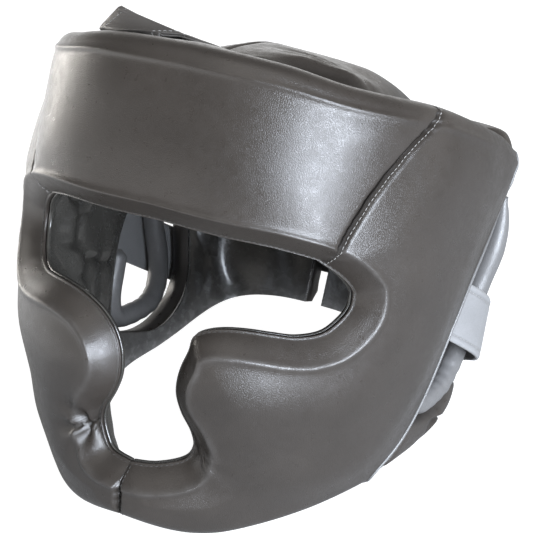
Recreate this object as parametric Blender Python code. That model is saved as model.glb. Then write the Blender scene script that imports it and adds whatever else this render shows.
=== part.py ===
"""Full-face boxing head guard: padded leather panels round an open head hollow.

The guard is modelled in a head frame (origin between the ears at eye level, face towards -Y)
and then tilted back onto its flat lower edge, as it rests by itself on a table.
"""
import math

import bpy
import numpy as np
from mathutils import Matrix

# Driving dimensions of the shell, in metres and degrees
GUARD_WIDTH = 0.232          # widest, over the ears
FRONT_REACH = 0.1220         # ear line to the front of the brow
BACK_REACH = 0.1330          # ear line to the back of the head
CROWN_HEIGHT = 0.100         # eye level up to the highest part of the rim
CHIN_DROP = 0.150            # eye level down to the lowest section
REST_TILT = 23.4             # how far the guard leans back on its lower edge
EYE_LEVEL = 0.098            # eye level above the table
EAR_LINE = 0.016             # how far the widest section lies behind the origin

# Padding and leather
PAD_THICKNESS = 0.025
OPENING_THICKNESS = 0.0135   # padding at the edge of the face opening
OPENING_FADE = 0.035         # distance over which the padding grows to full thickness
REAR_THICKNESS = 0.024
LINING_THICKNESS = 0.002
SKIN_THICKNESS = 0.0018      # the least thickness, where a padded edge is sewn flat
SEAM_DEPTH = 0.003
SEAM_WIDTH = 0.004
GAP = 0.0003
LINING_GAP = 0.0005          # between the padding and its lining
SEAT_GAP = 0.0006            # between curved pieces whose facets differ
REAR_GAP = 0.0010            # between the side pad's rear edge and the rear panel

# Face opening and ear opening
OPENING_HALF_WIDTH = 0.099   # both measured on the outer surface
BROW_LEVEL = 0.0140          # upper edge of the face opening above eye level
MOUTH_DROP = 0.1125          # lower edge of the face opening below eye level
CHEEK_ROLL = 0.013           # width of the rounded edge round the cheeks
BROW_ROLL = 0.008
RIM_ROLL = 0.013
HEM_ROLL = 0.011
RIM_DROP = 0.017             # how far the rounded edges fall towards the lining
HEM_DROP = 0.015
REAR_ROLL = 0.008
REAR_EDGE_DROP = 0.007       # how far the side pad thins at its rear edge
REAR_BEVEL = 0.012           # how far its rear face leans forward to the lining
PAD_CROWN = 0.004            # how far the middle of a pad swells
JAW_ANGLE = 56.0             # where the lower edge turns from the cheek to the chin
FLATTENING = 0.003           # how much of the padded lower edge is pressed flat
CHIN_ANGLE = 38.0            # from the middle of the chin to where the edge is pressed flat
CHIN_LIFT = 0.012            # how far the edge rises from there to the middle of the chin
EAR_OPENING_REACH = 0.068    # behind the side pad's rear edge, at eye level
EAR_OPENING_TOP = 0.054
EAR_OPENING_DROP = 0.080
NAPE_LIFT = 0.006            # the nape edge above the table
NAPE_START = 118.0           # angle from which the lower edge rises to the nape
CLOSURE_GAP = 0.012          # between the two rear panels

# Ear rolls, straps and crown
EAR_ROLL_DIAMETER = 0.0125
EAR_STRAP_HEIGHT = 0.031
EAR_STRAP_LENGTH = 0.084
EAR_STRAP_LEVEL = 0.001
EAR_STRAP_SLOPE = 0.026      # how far the strap drops towards the back
EAR_STRAP_BOW = 0.008        # how deep its front end is tucked in
STRAP_THICKNESS = 0.0022
BACK_STRAP_LEVEL = 0.006
BACK_STRAP_THICKNESS = 0.003
BACK_STRAP_HEIGHT = 0.072
BACK_STRAP_LENGTH = 0.120
CROWN_PAD_THICKNESS = 0.008
CROWN_RISE = 0.006           # crown pads above the highest part of the rim
CROWN_SEAT = 0.017           # where the crown pads are sewn in, below the rim
CROWN_SPLIT = 0.003          # between the two crown pads
CROWN_SHOULDER = 0.50        # share of the crown pads over which they rise
CROWN_TUCK = 0.5             # how far the seam to the side pads draws them in
CROWN_TUCK_ANGLE = 66.4
CROWN_FALL_SIDE = 0.018
CROWN_FALL_BACK = 0.016
CROWN_START = 3.0            # angles between which the crown pads are sewn in
CROWN_END = 166.0
CROWN_RIGHT_DROP = 0.018     # how much flatter the right crown pad lies, under the strap
CROWN_STRAP_LENGTH = 0.095
CROWN_STRAP_LIFT = 0.0025    # its underside above the crown pads
CROWN_STRAP_SEAT = 0.007     # where the strap is sewn in, below the rim
CROWN_STRAP_CLEARANCE = 0.0009  # under the strap where it leans over the rim
CROWN_STRAP_OVERHANG = 0.0125   # how far its outer end leans over the rim
CROWN_HEM = 0.004            # kept free at the ends of the line where the crown pads meet

HALF_WIDTH = GUARD_WIDTH / 2
LINED_THICKNESS = PAD_THICKNESS + LINING_GAP + LINING_THICKNESS
CROWN_INSET = LINED_THICKNESS + 0.0025
CROWN_STRAP_INSET = LINED_THICKNESS + 0.0011
TILT = math.radians(REST_TILT)

# Horizontal sections: level (-1 lowest section, 0 eye level, 1 rim), then shares of the
# half width, front reach and back reach, where the widest place lies as a share of the
# ear line's set-back, and the roundness exponent of the front half
SECTIONS = (
    # level, width, front, back, centre, roundness
    (-1.00, 0.700, 0.780, 0.830, 1.90, 1.85),
    (-0.80, 0.820, 0.855, 0.870, 1.90, 1.88),
    (-0.60, 0.900, 0.910, 0.920, 1.85, 2.05),
    (-0.333, 0.955, 0.965, 0.970, 1.50, 2.45),
    (-0.067, 0.990, 1.000, 0.985, 1.00, 2.62),
    (0.306, 1.006, 0.989, 1.000, 1.40, 2.58),
    (0.663, 1.020, 0.972, 1.000, 1.80, 2.50),
    (1.00, 0.975, 0.950, 0.950, 1.80, 2.50),
)
BACK_ROUNDNESS = 2.6

# Left half of the face opening, from the brow seam round the cheek to the chin: shares of
# the opening's half width, and of the brow level above zero or the mouth drop below zero
OPENING_EDGE = (
    # across, level
    (0.899, 0.650),
    (0.944, 0.393),
    (0.980, 0.070),
    (1.000, -0.036),
    (1.000, -0.108),
    (0.970, -0.178),
    (0.909, -0.248),
    (0.808, -0.280),
    (0.697, -0.281),
    (0.576, -0.280),
    (0.455, -0.290),
    (0.354, -0.314),
    (0.273, -0.350),
    (0.212, -0.413),
    (0.172, -0.484),
    (0.157, -0.556),
    (0.162, -0.628),
    (0.202, -0.709),
    (0.263, -0.789),
    (0.283, -0.861),
    (0.253, -0.933),
    (0.162, -0.982),
    (0.000, -1.000),
)
# How far the soft inner cheeks sit off the outline above, apart on the left, closer on the right
CHEEK_SPREAD = {1: 0.0075, -1: -0.0045}
# How far the lower rear of each half leans in towards the empty hollow
REAR_LEAN = {1: -0.004, -1: 0.018}
# Rows of OPENING_EDGE that face the corners of the side pad's outer outline
OPENING_KEYS = (0, 3, 7, 18, 22)
BROW_EDGE = (
    # across, level
    (0.000, 1.000),
    (0.343, 0.950),
    (0.646, 0.940),
    (0.848, 0.790),
    (0.899, 0.650),
)

# Seam between forehead and side pad: share of the crown height, and the angle round the head
BROW_SEAM = (
    # level, angle from the front in degrees
    (0.060, 42.0),
    (0.240, 44.0),
    (0.320, 45.5),
    (0.475, 48.8),
    (0.690, 55.9),
    (0.850, 63.8),
    (0.940, 66.4),
)

# Rear edge of the side pad: level as in SECTIONS, and share of the back reach
SIDE_REAR_EDGE = (
    # level, set-back
    (-0.710, -0.040),
    (-0.550, 0.060),
    (-0.440, 0.095),
    (-0.190, 0.155),
    (0.000, 0.235),
    (0.290, 0.365),
    (0.410, 0.430),
    (0.540, 0.500),
    (0.740, 0.520),
)

# Height of the rim round the head: angle in degrees, share of the crown height
RIM_LEVELS = (
    (0.0, 1.000),
    (20.0, 0.985),
    (40.0, 0.945),
    (66.4, 0.925),
    (84.0, 0.880),
    (100.0, 0.800),
    (112.0, 0.770),
    (125.0, 0.850),
    (180.0, 0.830),
)

# Ear opening behind the side pad, bottom to top: share of its reach, level as in SECTIONS
EAR_OPENING_EDGE = (
    # behind the side pad's rear edge, level
    (0.41, -0.533),
    (0.60, -0.510),
    (0.78, -0.450),
    (0.93, -0.367),
    (1.00, -0.253),
    (0.93, -0.100),
    (0.83, 0.000),
    (0.64, 0.200),
    (0.41, 0.400),
)

# Centre line of the ear roll, from the temple down and round under the ear: share of the ear
# opening's reach behind the side pad, level as in SECTIONS, depth in roll radii
EAR_ROLL_PATH = (
    # behind, level, depth
    (0.270, 0.440, 0.10),
    (0.430, 0.310, -0.30),
    (0.570, 0.160, -0.35),
    (0.700, 0.000, -0.10),
    (0.780, -0.100, 0.20),
    (0.850, -0.247, 0.70),
    (0.790, -0.347, 1.10),
    (0.660, -0.420, 1.40),
    (0.480, -0.460, 1.60),
    (0.290, -0.480, 1.70),
    (0.180, -0.440, 1.90),
    (0.120, -0.370, 2.20),
    (0.110, -0.290, 2.40),
    (0.110, -0.213, 2.60),
)

# Ear strap from the side pad back over the roll to the rear panel
EAR_STRAP_PATH = (
    # share of its length, share of its bow that it lies below the surface
    (0.00, 1.00),
    (0.12, 0.25),
    (0.26, -0.50),
    (0.40, -0.88),
    (0.56, -0.98),
    (0.70, -0.89),
    (0.84, -0.48),
    (1.00, -0.28),
)

# Crown strap, from its seat inside the front rim up to its fold and back over the crown
CROWN_STRAP_PROFILE = (
    # share of its length behind the fold, share of the fold's height kept
    (0.03, 0.90),
    (0.10, 0.62),
    (0.22, 0.26),
    (0.42, 0.04),
    (0.70, 0.00),
    (1.00, 0.00),
)
CROWN_STRAP_FOLD = (
    # share of the half width to the wearer's left, of the front reach ahead, of the crown height
    # above the rim
    (-0.526, 0.623, 0.085),
    (-0.164, 0.664, 0.012),
)
CROWN_STRAP_SEAT_ANGLES = (-45.0, -15.0)
CROWN_STRAP_TURN = -4.0      # degrees by which its laid-back part points off straight back

LEATHER = (0.075, 0.070, 0.068, 1.0)
LINING_LEATHER = (0.030, 0.029, 0.028, 1.0)
STRAP_LEATHER = (0.130, 0.128, 0.126, 1.0)

# Fineness of the panels: rungs between the corners of each outline, and rows across
SIDE_RUNGS = (4, 8, 11, 8)
REAR_RUNGS = (9, 4, 7)
REAR_KEYS = (0, 5, 7, 10)
FOREHEAD_RUNGS = 8
ROW_SHARES = (0.0, 0.12, 0.45, 1.0)
MIDDLE_ROWS = 2
EDGE_POWER = 2.6
EAR_ROLL_RINGS = 22
EAR_ROLL_SIDES = 8
CROWN_RUNGS = 14
CROWN_ROWS = (0.0, 0.06, 0.16, 0.35, 0.65, 1.0)


def clear_scene():
    for obj in list(bpy.data.objects):
        bpy.data.objects.remove(obj, do_unlink=True)


def leather(name, colour, roughness):
    material = bpy.data.materials.new(name)
    material.use_nodes = True
    shader = material.node_tree.nodes["Principled BSDF"]
    shader.inputs["Base Color"].default_value = colour
    shader.inputs["Roughness"].default_value = roughness
    shader.inputs["Metallic"].default_value = 0.0
    return material


def level_to_height(level):
    level = np.asarray(level, float)
    return np.where(level < 0, level * CHIN_DROP, level * CROWN_HEIGHT)


def smooth(value):
    value = np.clip(value, 0.0, 1.0)
    return value * value * (3 - 2 * value)


def hermite(x, knots, values):
    """Smooth curve through the knots that never overshoots between them."""
    knots = np.asarray(knots, float)
    values = np.asarray(values, float)
    steps = np.diff(knots)
    slopes = np.diff(values) / steps
    tangents = np.zeros_like(values)
    same = slopes[1:] * slopes[:-1] > 0
    with np.errstate(divide="ignore", invalid="ignore"):
        mean = 2 * slopes[1:] * slopes[:-1] / (slopes[1:] + slopes[:-1])
    tangents[1:-1] = np.where(same, mean, 0.0)
    tangents[0] = slopes[0]
    tangents[-1] = slopes[-1]
    x = np.clip(np.asarray(x, float), knots[0], knots[-1])
    index = np.clip(np.searchsorted(knots, x) - 1, 0, len(steps) - 1)
    width = steps[index]
    t = (x - knots[index]) / width
    start = values[index] * (1 + 2 * t) * (1 - t) ** 2
    start_slope = width * tangents[index] * t * (1 - t) ** 2
    end = values[index + 1] * t * t * (3 - 2 * t)
    end_slope = width * tangents[index + 1] * t * t * (t - 1)
    return start + start_slope + end + end_slope


SECTION_HEIGHTS = level_to_height([row[0] for row in SECTIONS])


def section(z):
    """Half width, front, back, centre and front roundness of the plan section at a height."""
    columns = [hermite(z, SECTION_HEIGHTS, [row[k] for row in SECTIONS]) for k in range(1, 6)]
    width, front, back, centre, roundness = columns
    return width * HALF_WIDTH, front * FRONT_REACH, back * BACK_REACH, centre * EAR_LINE, roundness


def surface(angle, z):
    """Point of the outer surface at an angle from the front, positive to the wearer's left."""
    width, front, back, centre, roundness = section(z)
    sine = np.sin(angle)
    cosine = np.cos(angle)
    power = np.where(cosine >= 0, 2 / roundness, 2 / BACK_ROUNDNESS)
    reach = np.where(cosine >= 0, front + centre, back - centre)
    x = width * np.sign(sine) * np.abs(sine) ** power
    y = centre - np.sign(cosine) * np.abs(cosine) ** power * reach
    return np.stack([x, y, z + 0 * x], -1)


def outward(angle, z):
    turn = 1e-3
    rise = 5e-4
    round_step = surface(angle + turn, z) - surface(angle - turn, z)
    up_step = surface(angle, z + rise) - surface(angle, z - rise)
    normal = np.cross(round_step, up_step)
    return normal / np.linalg.norm(normal, axis=-1, keepdims=True)


def inset_surface(angle, z, inset):
    return surface(angle, z) - outward(angle, z) * np.asarray(inset)[..., None]


def angle_at_x(x, z):
    width, _, _, _, roundness = section(z)
    return np.arcsin(np.clip(np.abs(x) / width, 0, 1) ** (roundness / 2))


def angle_at_y(y, z):
    _, front, back, centre, roundness = section(z)
    ahead = np.clip((centre - y) / (front + centre), 0, 1)
    behind = np.clip((y - centre) / (back - centre), 0, 1)
    front_angle = np.arccos(ahead ** (roundness / 2))
    back_angle = np.pi - np.arccos(behind ** (BACK_ROUNDNESS / 2))
    return np.where(y < centre, front_angle, back_angle)


def table_height(y):
    """Height of the table in the head frame, below a point at depth y."""
    return y * math.tan(TILT) - EYE_LEVEL / math.cos(TILT)


def height_on_table(angle, lift):
    """Height of the lower edge at this angle: pressed flat on the table, or over it by lift."""
    z = np.full(np.shape(angle), -CHIN_DROP / 2)
    for _ in range(30):
        target = table_height(surface(angle, z)[..., 1]) + lift - FLATTENING
        z = 0.5 * z + 0.5 * target
    return z


def rim_height(angle):
    degrees = np.degrees(np.abs(angle))
    share = hermite(degrees, [row[0] for row in RIM_LEVELS], [row[1] for row in RIM_LEVELS])
    return share * CROWN_HEIGHT


def resample(points, count):
    """Evenly spaced points on the smooth curve through the given ones."""
    points = np.asarray(points, float)
    padded = np.vstack([2 * points[0] - points[1], points, 2 * points[-1] - points[-2]])
    fine = []
    for k in range(len(points) - 1):
        p0, p1, p2, p3 = padded[k:k + 4]
        t = np.linspace(0, 1, 12, endpoint=False)[:, None]
        fine.append(0.5 * (2 * p1 + (p2 - p0) * t + (2 * p0 - 5 * p1 + 4 * p2 - p3) * t ** 2
                           + (3 * p1 - p0 - 3 * p2 + p3) * t ** 3))
    fine = np.vstack(fine + [points[-1:]])
    return walk(fine, np.linspace(0, 1, count))


def walk(points, shares):
    """Points at shares of a polyline's length."""
    lengths = np.concatenate([[0], np.cumsum(np.linalg.norm(np.diff(points, axis=0), axis=1))])
    targets = np.asarray(shares) * lengths[-1]
    return np.stack([np.interp(targets, lengths, points[:, k]) for k in range(points.shape[1])], 1)


def opening_point(across, level, side=1):
    spread = smooth((-0.30 - level) / 0.15) * smooth((level + 1.0) / 0.08)
    x = across * OPENING_HALF_WIDTH + CHEEK_SPREAD[side] * spread
    z = level * (BROW_LEVEL if level > 0 else MOUTH_DROP)
    return x, z


def on_surface(x, z):
    return np.stack([angle_at_x(x, z), z], -1)


def seam_angle(z):
    heights = [row[0] * CROWN_HEIGHT for row in BROW_SEAM]
    return np.radians(hermite(z, heights, [row[1] for row in BROW_SEAM]))


def rear_edge_y(z):
    heights = level_to_height([row[0] for row in SIDE_REAR_EDGE])
    return hermite(z, heights, [row[1] * BACK_REACH for row in SIDE_REAR_EDGE])


def rear_edge_angle(z, behind=0.0):
    return angle_at_y(rear_edge_y(z) + behind, z)


def seam_top():
    z = rim_height(seam_angle(CROWN_HEIGHT))
    return np.array([seam_angle(z), z])


def rear_top():
    """Where the side pad's rear edge meets the rim."""
    z = CROWN_HEIGHT * SIDE_REAR_EDGE[-1][0]
    return np.array([rear_edge_angle(z), z])


def rear_bottom():
    """Where the side pad's rear edge meets the table."""
    z = -CHIN_DROP * 0.7
    for _ in range(40):
        z = 0.5 * z + 0.5 * (table_height(rear_edge_y(z)) - FLATTENING)
    return np.array([rear_edge_angle(z), z])


def rim_run(start, end, count):
    angles = np.linspace(start[0], end[0], count)
    fade = np.linspace(0, 1, count)
    drift = (1 - fade) * (start[1] - rim_height(start[0])) + fade * (end[1] - rim_height(end[0]))
    return np.stack([angles, rim_height(angles) + drift], 1)


def rear_edge_run(start, end, count, behind=0.0):
    z = np.linspace(start[1], end[1], count)
    return np.stack([rear_edge_angle(z, behind), z], 1)


def table_run(start_angle, end_angle, count):
    angles = np.linspace(start_angle, end_angle, count)
    return np.stack([angles, height_on_table(angles, chin_lift(angles))], 1)


def edge_drop(distance, width, depth):
    """How deep a rounded edge lies below the surface, at a distance from the edge."""
    inside = np.clip(1 - distance / width, 0, 1)
    return depth * (1 - (1 - inside ** EDGE_POWER) ** (1 / EDGE_POWER))


def seam_drop(distance):
    return SEAM_DEPTH * (1 - smooth(distance / SEAM_WIDTH))


def row_places(length, first_roll, last_roll):
    """Distances of the rows across a panel: close together over its two rounded edges."""
    scale = min(1.0, 0.8 * length / (first_roll + last_roll))
    first = [share * first_roll * scale for share in ROW_SHARES]
    last = [length - share * last_roll * scale for share in reversed(ROW_SHARES)]
    middle = np.linspace(first[-1], last[0], MIDDLE_ROWS + 2)[1:-1]
    return np.array(first + list(middle) + last)


def panel_grid(inner, outer, first_roll, last_roll):
    """Grid of (angle, height) between two outlines."""
    rungs = []
    for start, end in zip(inner, outer):
        line = start + (end - start) * np.linspace(0, 1, 24)[:, None]
        spots = surface(line[:, 0], line[:, 1])
        steps = np.concatenate([[0], np.cumsum(np.linalg.norm(np.diff(spots, axis=0), axis=1))])
        places = row_places(steps[-1], first_roll, last_roll)
        shares = np.interp(places, steps, np.linspace(0, 1, 24))
        rungs.append(start + (end - start) * shares[:, None])
    return np.array(rungs)


def cross_lengths(grid):
    """Distance along each rung of a grid from its first and its last row."""
    near, far = run_lengths(grid.transpose(1, 0, 2))
    return near.T, far.T


def run_lengths(grid):
    """Distance along each row of a grid from its first and its last rung."""
    spots = surface(grid[..., 0], grid[..., 1])
    steps = np.linalg.norm(np.diff(spots, axis=0), axis=-1)
    along = np.vstack([np.zeros((1, grid.shape[1])), np.cumsum(steps, axis=0)])
    return along, along[-1] - along


def to_world(points, side):
    """Head frame to the guard's resting place; side -1 mirrors to the wearer's right."""
    low = smooth((-points[..., 2] / CHIN_DROP - 0.05) / 0.45)
    back = smooth(points[..., 1] / BACK_REACH / 0.5)
    lean = low * back * np.clip(np.abs(points[..., 0]) / HALF_WIDTH, 0, 1)
    leans = np.where(points[..., 0] * side > 0, REAR_LEAN[1], REAR_LEAN[-1])
    x = (points[..., 0] - np.sign(points[..., 0]) * lean * leans) * side
    y = points[..., 1] * math.cos(TILT) + points[..., 2] * math.sin(TILT)
    z = points[..., 2] * math.cos(TILT) - points[..., 1] * math.sin(TILT) + EYE_LEVEL
    return np.stack([x, y, np.maximum(z, 0.0)], -1)


def slab(name, outer, inner, material, side=1):
    """Closed body between two grids of points that lie one over the other."""
    rows, columns = outer.shape[:2]
    count = rows * columns
    points = to_world(np.concatenate([outer.reshape(-1, 3), inner.reshape(-1, 3)]), side)
    faces = []
    for i in range(rows - 1):
        for j in range(columns - 1):
            a = i * columns + j
            b = a + columns
            faces.append((a, b, b + 1, a + 1))
            faces.append((a + count, a + 1 + count, b + 1 + count, b + count))
    border = [j for j in range(columns)]
    border += [i * columns + columns - 1 for i in range(1, rows)]
    border += [(rows - 1) * columns + j for j in range(columns - 2, -1, -1)]
    border += [i * columns for i in range(rows - 2, 0, -1)]
    for a, b in zip(border, border[1:] + border[:1]):
        # Split towards the higher row, so that walls facing each other have the same facets
        if a < b:
            faces += [(a, b, b + count), (a, b + count, a + count)]
        else:
            faces += [(a, b, a + count), (b, b + count, a + count)]
    return closed_body(name, points, faces, material)


def closed_body(name, points, faces, material):
    mesh = bpy.data.meshes.new(name)
    mesh.from_pydata([tuple(p) for p in points], [], faces)
    mesh.validate()
    volume = 0.0
    for face in faces:
        for k in range(1, len(face) - 1):
            volume += np.dot(points[face[0]], np.cross(points[face[k]], points[face[k + 1]]))
    if volume < 0:
        mesh.flip_normals()
    mesh.materials.append(material)
    mesh.shade_smooth()
    mesh.set_sharp_from_angle(angle=math.radians(50))
    obj = bpy.data.objects.new(name, mesh)
    bpy.context.scene.collection.objects.link(obj)
    return obj


def tube(name, path, radii, sides, material, side=1):
    """Closed round body along a path; radii are (across the surface, out of the surface)."""
    path = np.asarray(path)
    tangents = np.gradient(path, axis=0)
    tangents /= np.linalg.norm(tangents, axis=1, keepdims=True)
    out = np.stack([np.sign(path[:, 0]), 0 * path[:, 0], 0 * path[:, 0]], 1)
    across = np.cross(tangents, out)
    across /= np.linalg.norm(across, axis=1, keepdims=True)
    out = np.cross(across, tangents)
    turns = np.linspace(0, 2 * np.pi, sides, endpoint=False)
    rings = []
    shrink = np.ones(len(path))
    shrink[[0, -1]] = 0.55
    for k, centre in enumerate(path):
        circle = (np.cos(turns)[:, None] * across[k] * radii[0]
                  + np.sin(turns)[:, None] * out[k] * radii[1])
        rings.append(centre + circle * shrink[k])
    points = to_world(np.concatenate(rings), side)
    faces = []
    for k in range(len(path) - 1):
        for j in range(sides):
            a = k * sides + j
            b = k * sides + (j + 1) % sides
            faces.append((a, b, b + sides, a + sides))
    faces.append(tuple(reversed(range(sides))))
    last = (len(path) - 1) * sides
    faces.append(tuple(last + j for j in range(sides)))
    return closed_body(name, points, faces, material)


def opening_inner_inset(near):
    """Depth of the padding's inner skin: thin at the face opening, full further on."""
    return OPENING_THICKNESS + (PAD_THICKNESS - OPENING_THICKNESS) * smooth(near / OPENING_FADE)


def close_seams(grid, start=True, end=True):
    """Pull the first and last rung half a gap back from the seam that they lie on."""
    grid = grid.copy()
    for wanted, edge, inside in ((start, 0, 1), (end, -1, -2)):
        if wanted:
            here = surface(grid[edge, :, 0], grid[edge, :, 1])
            there = surface(grid[inside, :, 0], grid[inside, :, 1])
            share = (GAP * 0.8) / np.linalg.norm(there - here, axis=1)
            grid[edge] += (grid[inside] - grid[edge]) * share[:, None]
    return grid


def swell(*distances):
    """Depth to take off the outer skin where a pad swells, away from all its edges."""
    return -PAD_CROWN * smooth(np.minimum.reduce(distances) / OPENING_FADE)


def pull_back(grid, far, amount):
    """Grid whose last rows are drawn back from the far outline by an amount for each rung."""
    length = far[:, :1]
    reach = np.minimum(1.0, 2.5 * amount[:, None] / length)
    share = 1 - far / length
    start = 1 - reach
    end = 1 - amount[:, None] / length
    bent = np.where(share > start, start + (share - start) * (end - start) / np.maximum(reach, 1e-6),
                    share)
    rows = []
    for line, old, new in zip(grid, share, bent):
        rows.append(np.stack([np.interp(new, old, line[:, k]) for k in range(2)], 1))
    return np.array(rows)


def pad_and_lining(name, grids, outer_inset, inner_inset, looks, side=1):
    """A padded panel and the lining behind it, from the grids of its two skins."""
    outer_grid, inner_grid = grids
    outer_inset = np.minimum(outer_inset, inner_inset - SKIN_THICKNESS)
    outer = inset_surface(outer_grid[..., 0], outer_grid[..., 1], outer_inset)
    depths = (inner_inset, inner_inset + LINING_GAP, inner_inset + LINING_GAP + LINING_THICKNESS)
    inner = [inset_surface(inner_grid[..., 0], inner_grid[..., 1], depth) for depth in depths]
    for skin in inner:
        skin[..., 0] = np.where(inner_grid[..., 0] > 0, np.maximum(skin[..., 0], GAP), skin[..., 0])
    slab(name[0], outer, inner[0], looks["pad"], side)
    slab(name[1], inner[1], inner[2], looks["lining"], side)


def side_name(word, side):
    return word + ("_left" if side > 0 else "_right")


def outline_stretches(outline, keys, counts):
    """Points along an outline, in so many even steps between its key points."""
    fine = resample(outline, 12 * (len(outline) - 1) + 1)
    spots = [int(np.argmin(np.linalg.norm(fine - outline[k], axis=1))) for k in keys]
    stretches = [fine[:1]]
    for first, last, count in zip(spots, spots[1:], counts):
        stretches.append(walk(fine[first:last + 1], np.linspace(0, 1, count + 1))[1:])
    return np.vstack(stretches)


def by_stretch(values, counts):
    """One value for each rung of an outline made in stretches, averaged at the corners."""
    spread = [values[0]]
    for k, (value, count) in enumerate(zip(values, counts)):
        spread += [value] * count
        if k + 1 < len(values):
            spread[-1] = (value + values[k + 1]) / 2
    return np.array(spread)[:, None]


def chin_lift(angle):
    return CHIN_LIFT * (1 - smooth(np.abs(angle) / math.radians(CHIN_ANGLE)))


def side_pad(side, looks):
    outline = np.array([opening_point(*row, side) for row in OPENING_EDGE])
    inner = outline_stretches(outline, OPENING_KEYS, SIDE_RUNGS)
    inner = on_surface(inner[:, 0], inner[:, 1])
    top = seam_top()
    rear = rear_top()
    bottom = rear_bottom()
    jaw = math.radians(JAW_ANGLE)
    outer = np.vstack([rim_run(top, rear, SIDE_RUNGS[0] + 1),
                       rear_edge_run(rear, bottom, SIDE_RUNGS[1] + 1)[1:],
                       table_run(bottom[0], jaw, SIDE_RUNGS[2] + 1)[1:],
                       table_run(jaw, 0.0, SIDE_RUNGS[3] + 1)[1:]])
    grid = panel_grid(inner, outer, CHEEK_ROLL, HEM_ROLL)
    weights = np.clip(1 - np.arange(len(grid)) / SIDE_RUNGS[0], 0, 1)
    grid = follow_seam(grid, brow_seam_rows(grid.shape[1]), weights)
    near, far = cross_lengths(grid)
    grid = close_seams(grid)
    from_seam, from_chin = run_lengths(grid)
    roll = by_stretch((RIM_ROLL, REAR_ROLL, HEM_ROLL, HEM_ROLL), SIDE_RUNGS)
    depth = by_stretch((RIM_DROP, REAR_EDGE_DROP, HEM_DROP, HEM_DROP), SIDE_RUNGS)
    outer_inset = np.maximum.reduce([edge_drop(near, CHEEK_ROLL, OPENING_THICKNESS),
                                     edge_drop(far, roll, depth),
                                     seam_drop(from_seam), seam_drop(from_chin)])
    outer_inset = outer_inset + swell(near, far, from_seam, from_chin)
    along_rear = np.arange(len(grid)) - SIDE_RUNGS[0]
    bevel = REAR_BEVEL * np.sin(np.pi * np.clip(along_rear / SIDE_RUNGS[1], 0, 1)) ** 0.5
    inner_grid = pull_back(grid, far, bevel)
    names = (side_name("side_pad", side), side_name("side_lining", side))
    pad_and_lining(names, (grid, inner_grid), outer_inset, opening_inner_inset(near), looks, side)


def brow_seam_rows(count):
    """Rows on the seam between forehead and side pad, from the face opening to the rim."""
    fine = np.linspace(OPENING_EDGE[0][1] * BROW_LEVEL, seam_top()[1], 40)
    line = np.stack([seam_angle(fine), fine], 1)
    spots = surface(line[:, 0], line[:, 1])
    steps = np.concatenate([[0], np.cumsum(np.linalg.norm(np.diff(spots, axis=0), axis=1))])
    places = row_places(steps[-1], BROW_ROLL, RIM_ROLL)[:count]
    z = np.interp(places, steps, fine)
    return np.stack([seam_angle(z), z], 1)


def follow_seam(grid, seam_rows, weights):
    """Put the first rung of a grid on a seam and bend the others with it, by their weights."""
    return grid + (seam_rows - grid[0]) * weights[:, None, None]


def forehead(looks):
    edge = resample([opening_point(*row) for row in BROW_EDGE], FOREHEAD_RUNGS + 1)
    inner = on_surface(edge[:, 0], edge[:, 1])
    outer = rim_run(np.array([0.0, rim_height(0.0)]), seam_top(), FOREHEAD_RUNGS + 1)
    half = panel_grid(inner[::-1], outer[::-1], BROW_ROLL, RIM_ROLL)
    half = follow_seam(half, brow_seam_rows(half.shape[1]),
                       np.linspace(1, 0, FOREHEAD_RUNGS + 1) ** 2)
    grid = np.vstack([half[:-1] * np.array([-1, 1]), half[::-1]])
    near, far = cross_lengths(grid)
    grid = close_seams(grid)
    from_right, from_left = run_lengths(grid)
    outer_inset = np.maximum.reduce([edge_drop(near, BROW_ROLL, OPENING_THICKNESS),
                                     edge_drop(far, RIM_ROLL, RIM_DROP),
                                     seam_drop(from_right), seam_drop(from_left)])
    outer_inset = outer_inset + 0.5 * swell(near, far, from_right, from_left)
    pad_and_lining(("forehead_pad", "forehead_lining"), (grid, grid), outer_inset,
                   opening_inner_inset(near), looks)


def ear_opening_outline():
    """Rear border of the ear opening as (y, z), from the jaw up to the temple."""
    levels = [row[1] for row in EAR_OPENING_EDGE]
    z = np.concatenate([[-EAR_OPENING_DROP], level_to_height(levels), [EAR_OPENING_TOP]])
    behind = [row[0] * EAR_OPENING_REACH for row in EAR_OPENING_EDGE]
    y = rear_edge_y(z) + np.array([REAR_GAP] + behind + [REAR_GAP])
    return np.stack([y, z], 1)


def nape_lift(angle):
    start = math.radians(NAPE_START)
    return NAPE_LIFT * smooth((angle - start) / (math.pi - start))


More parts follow.
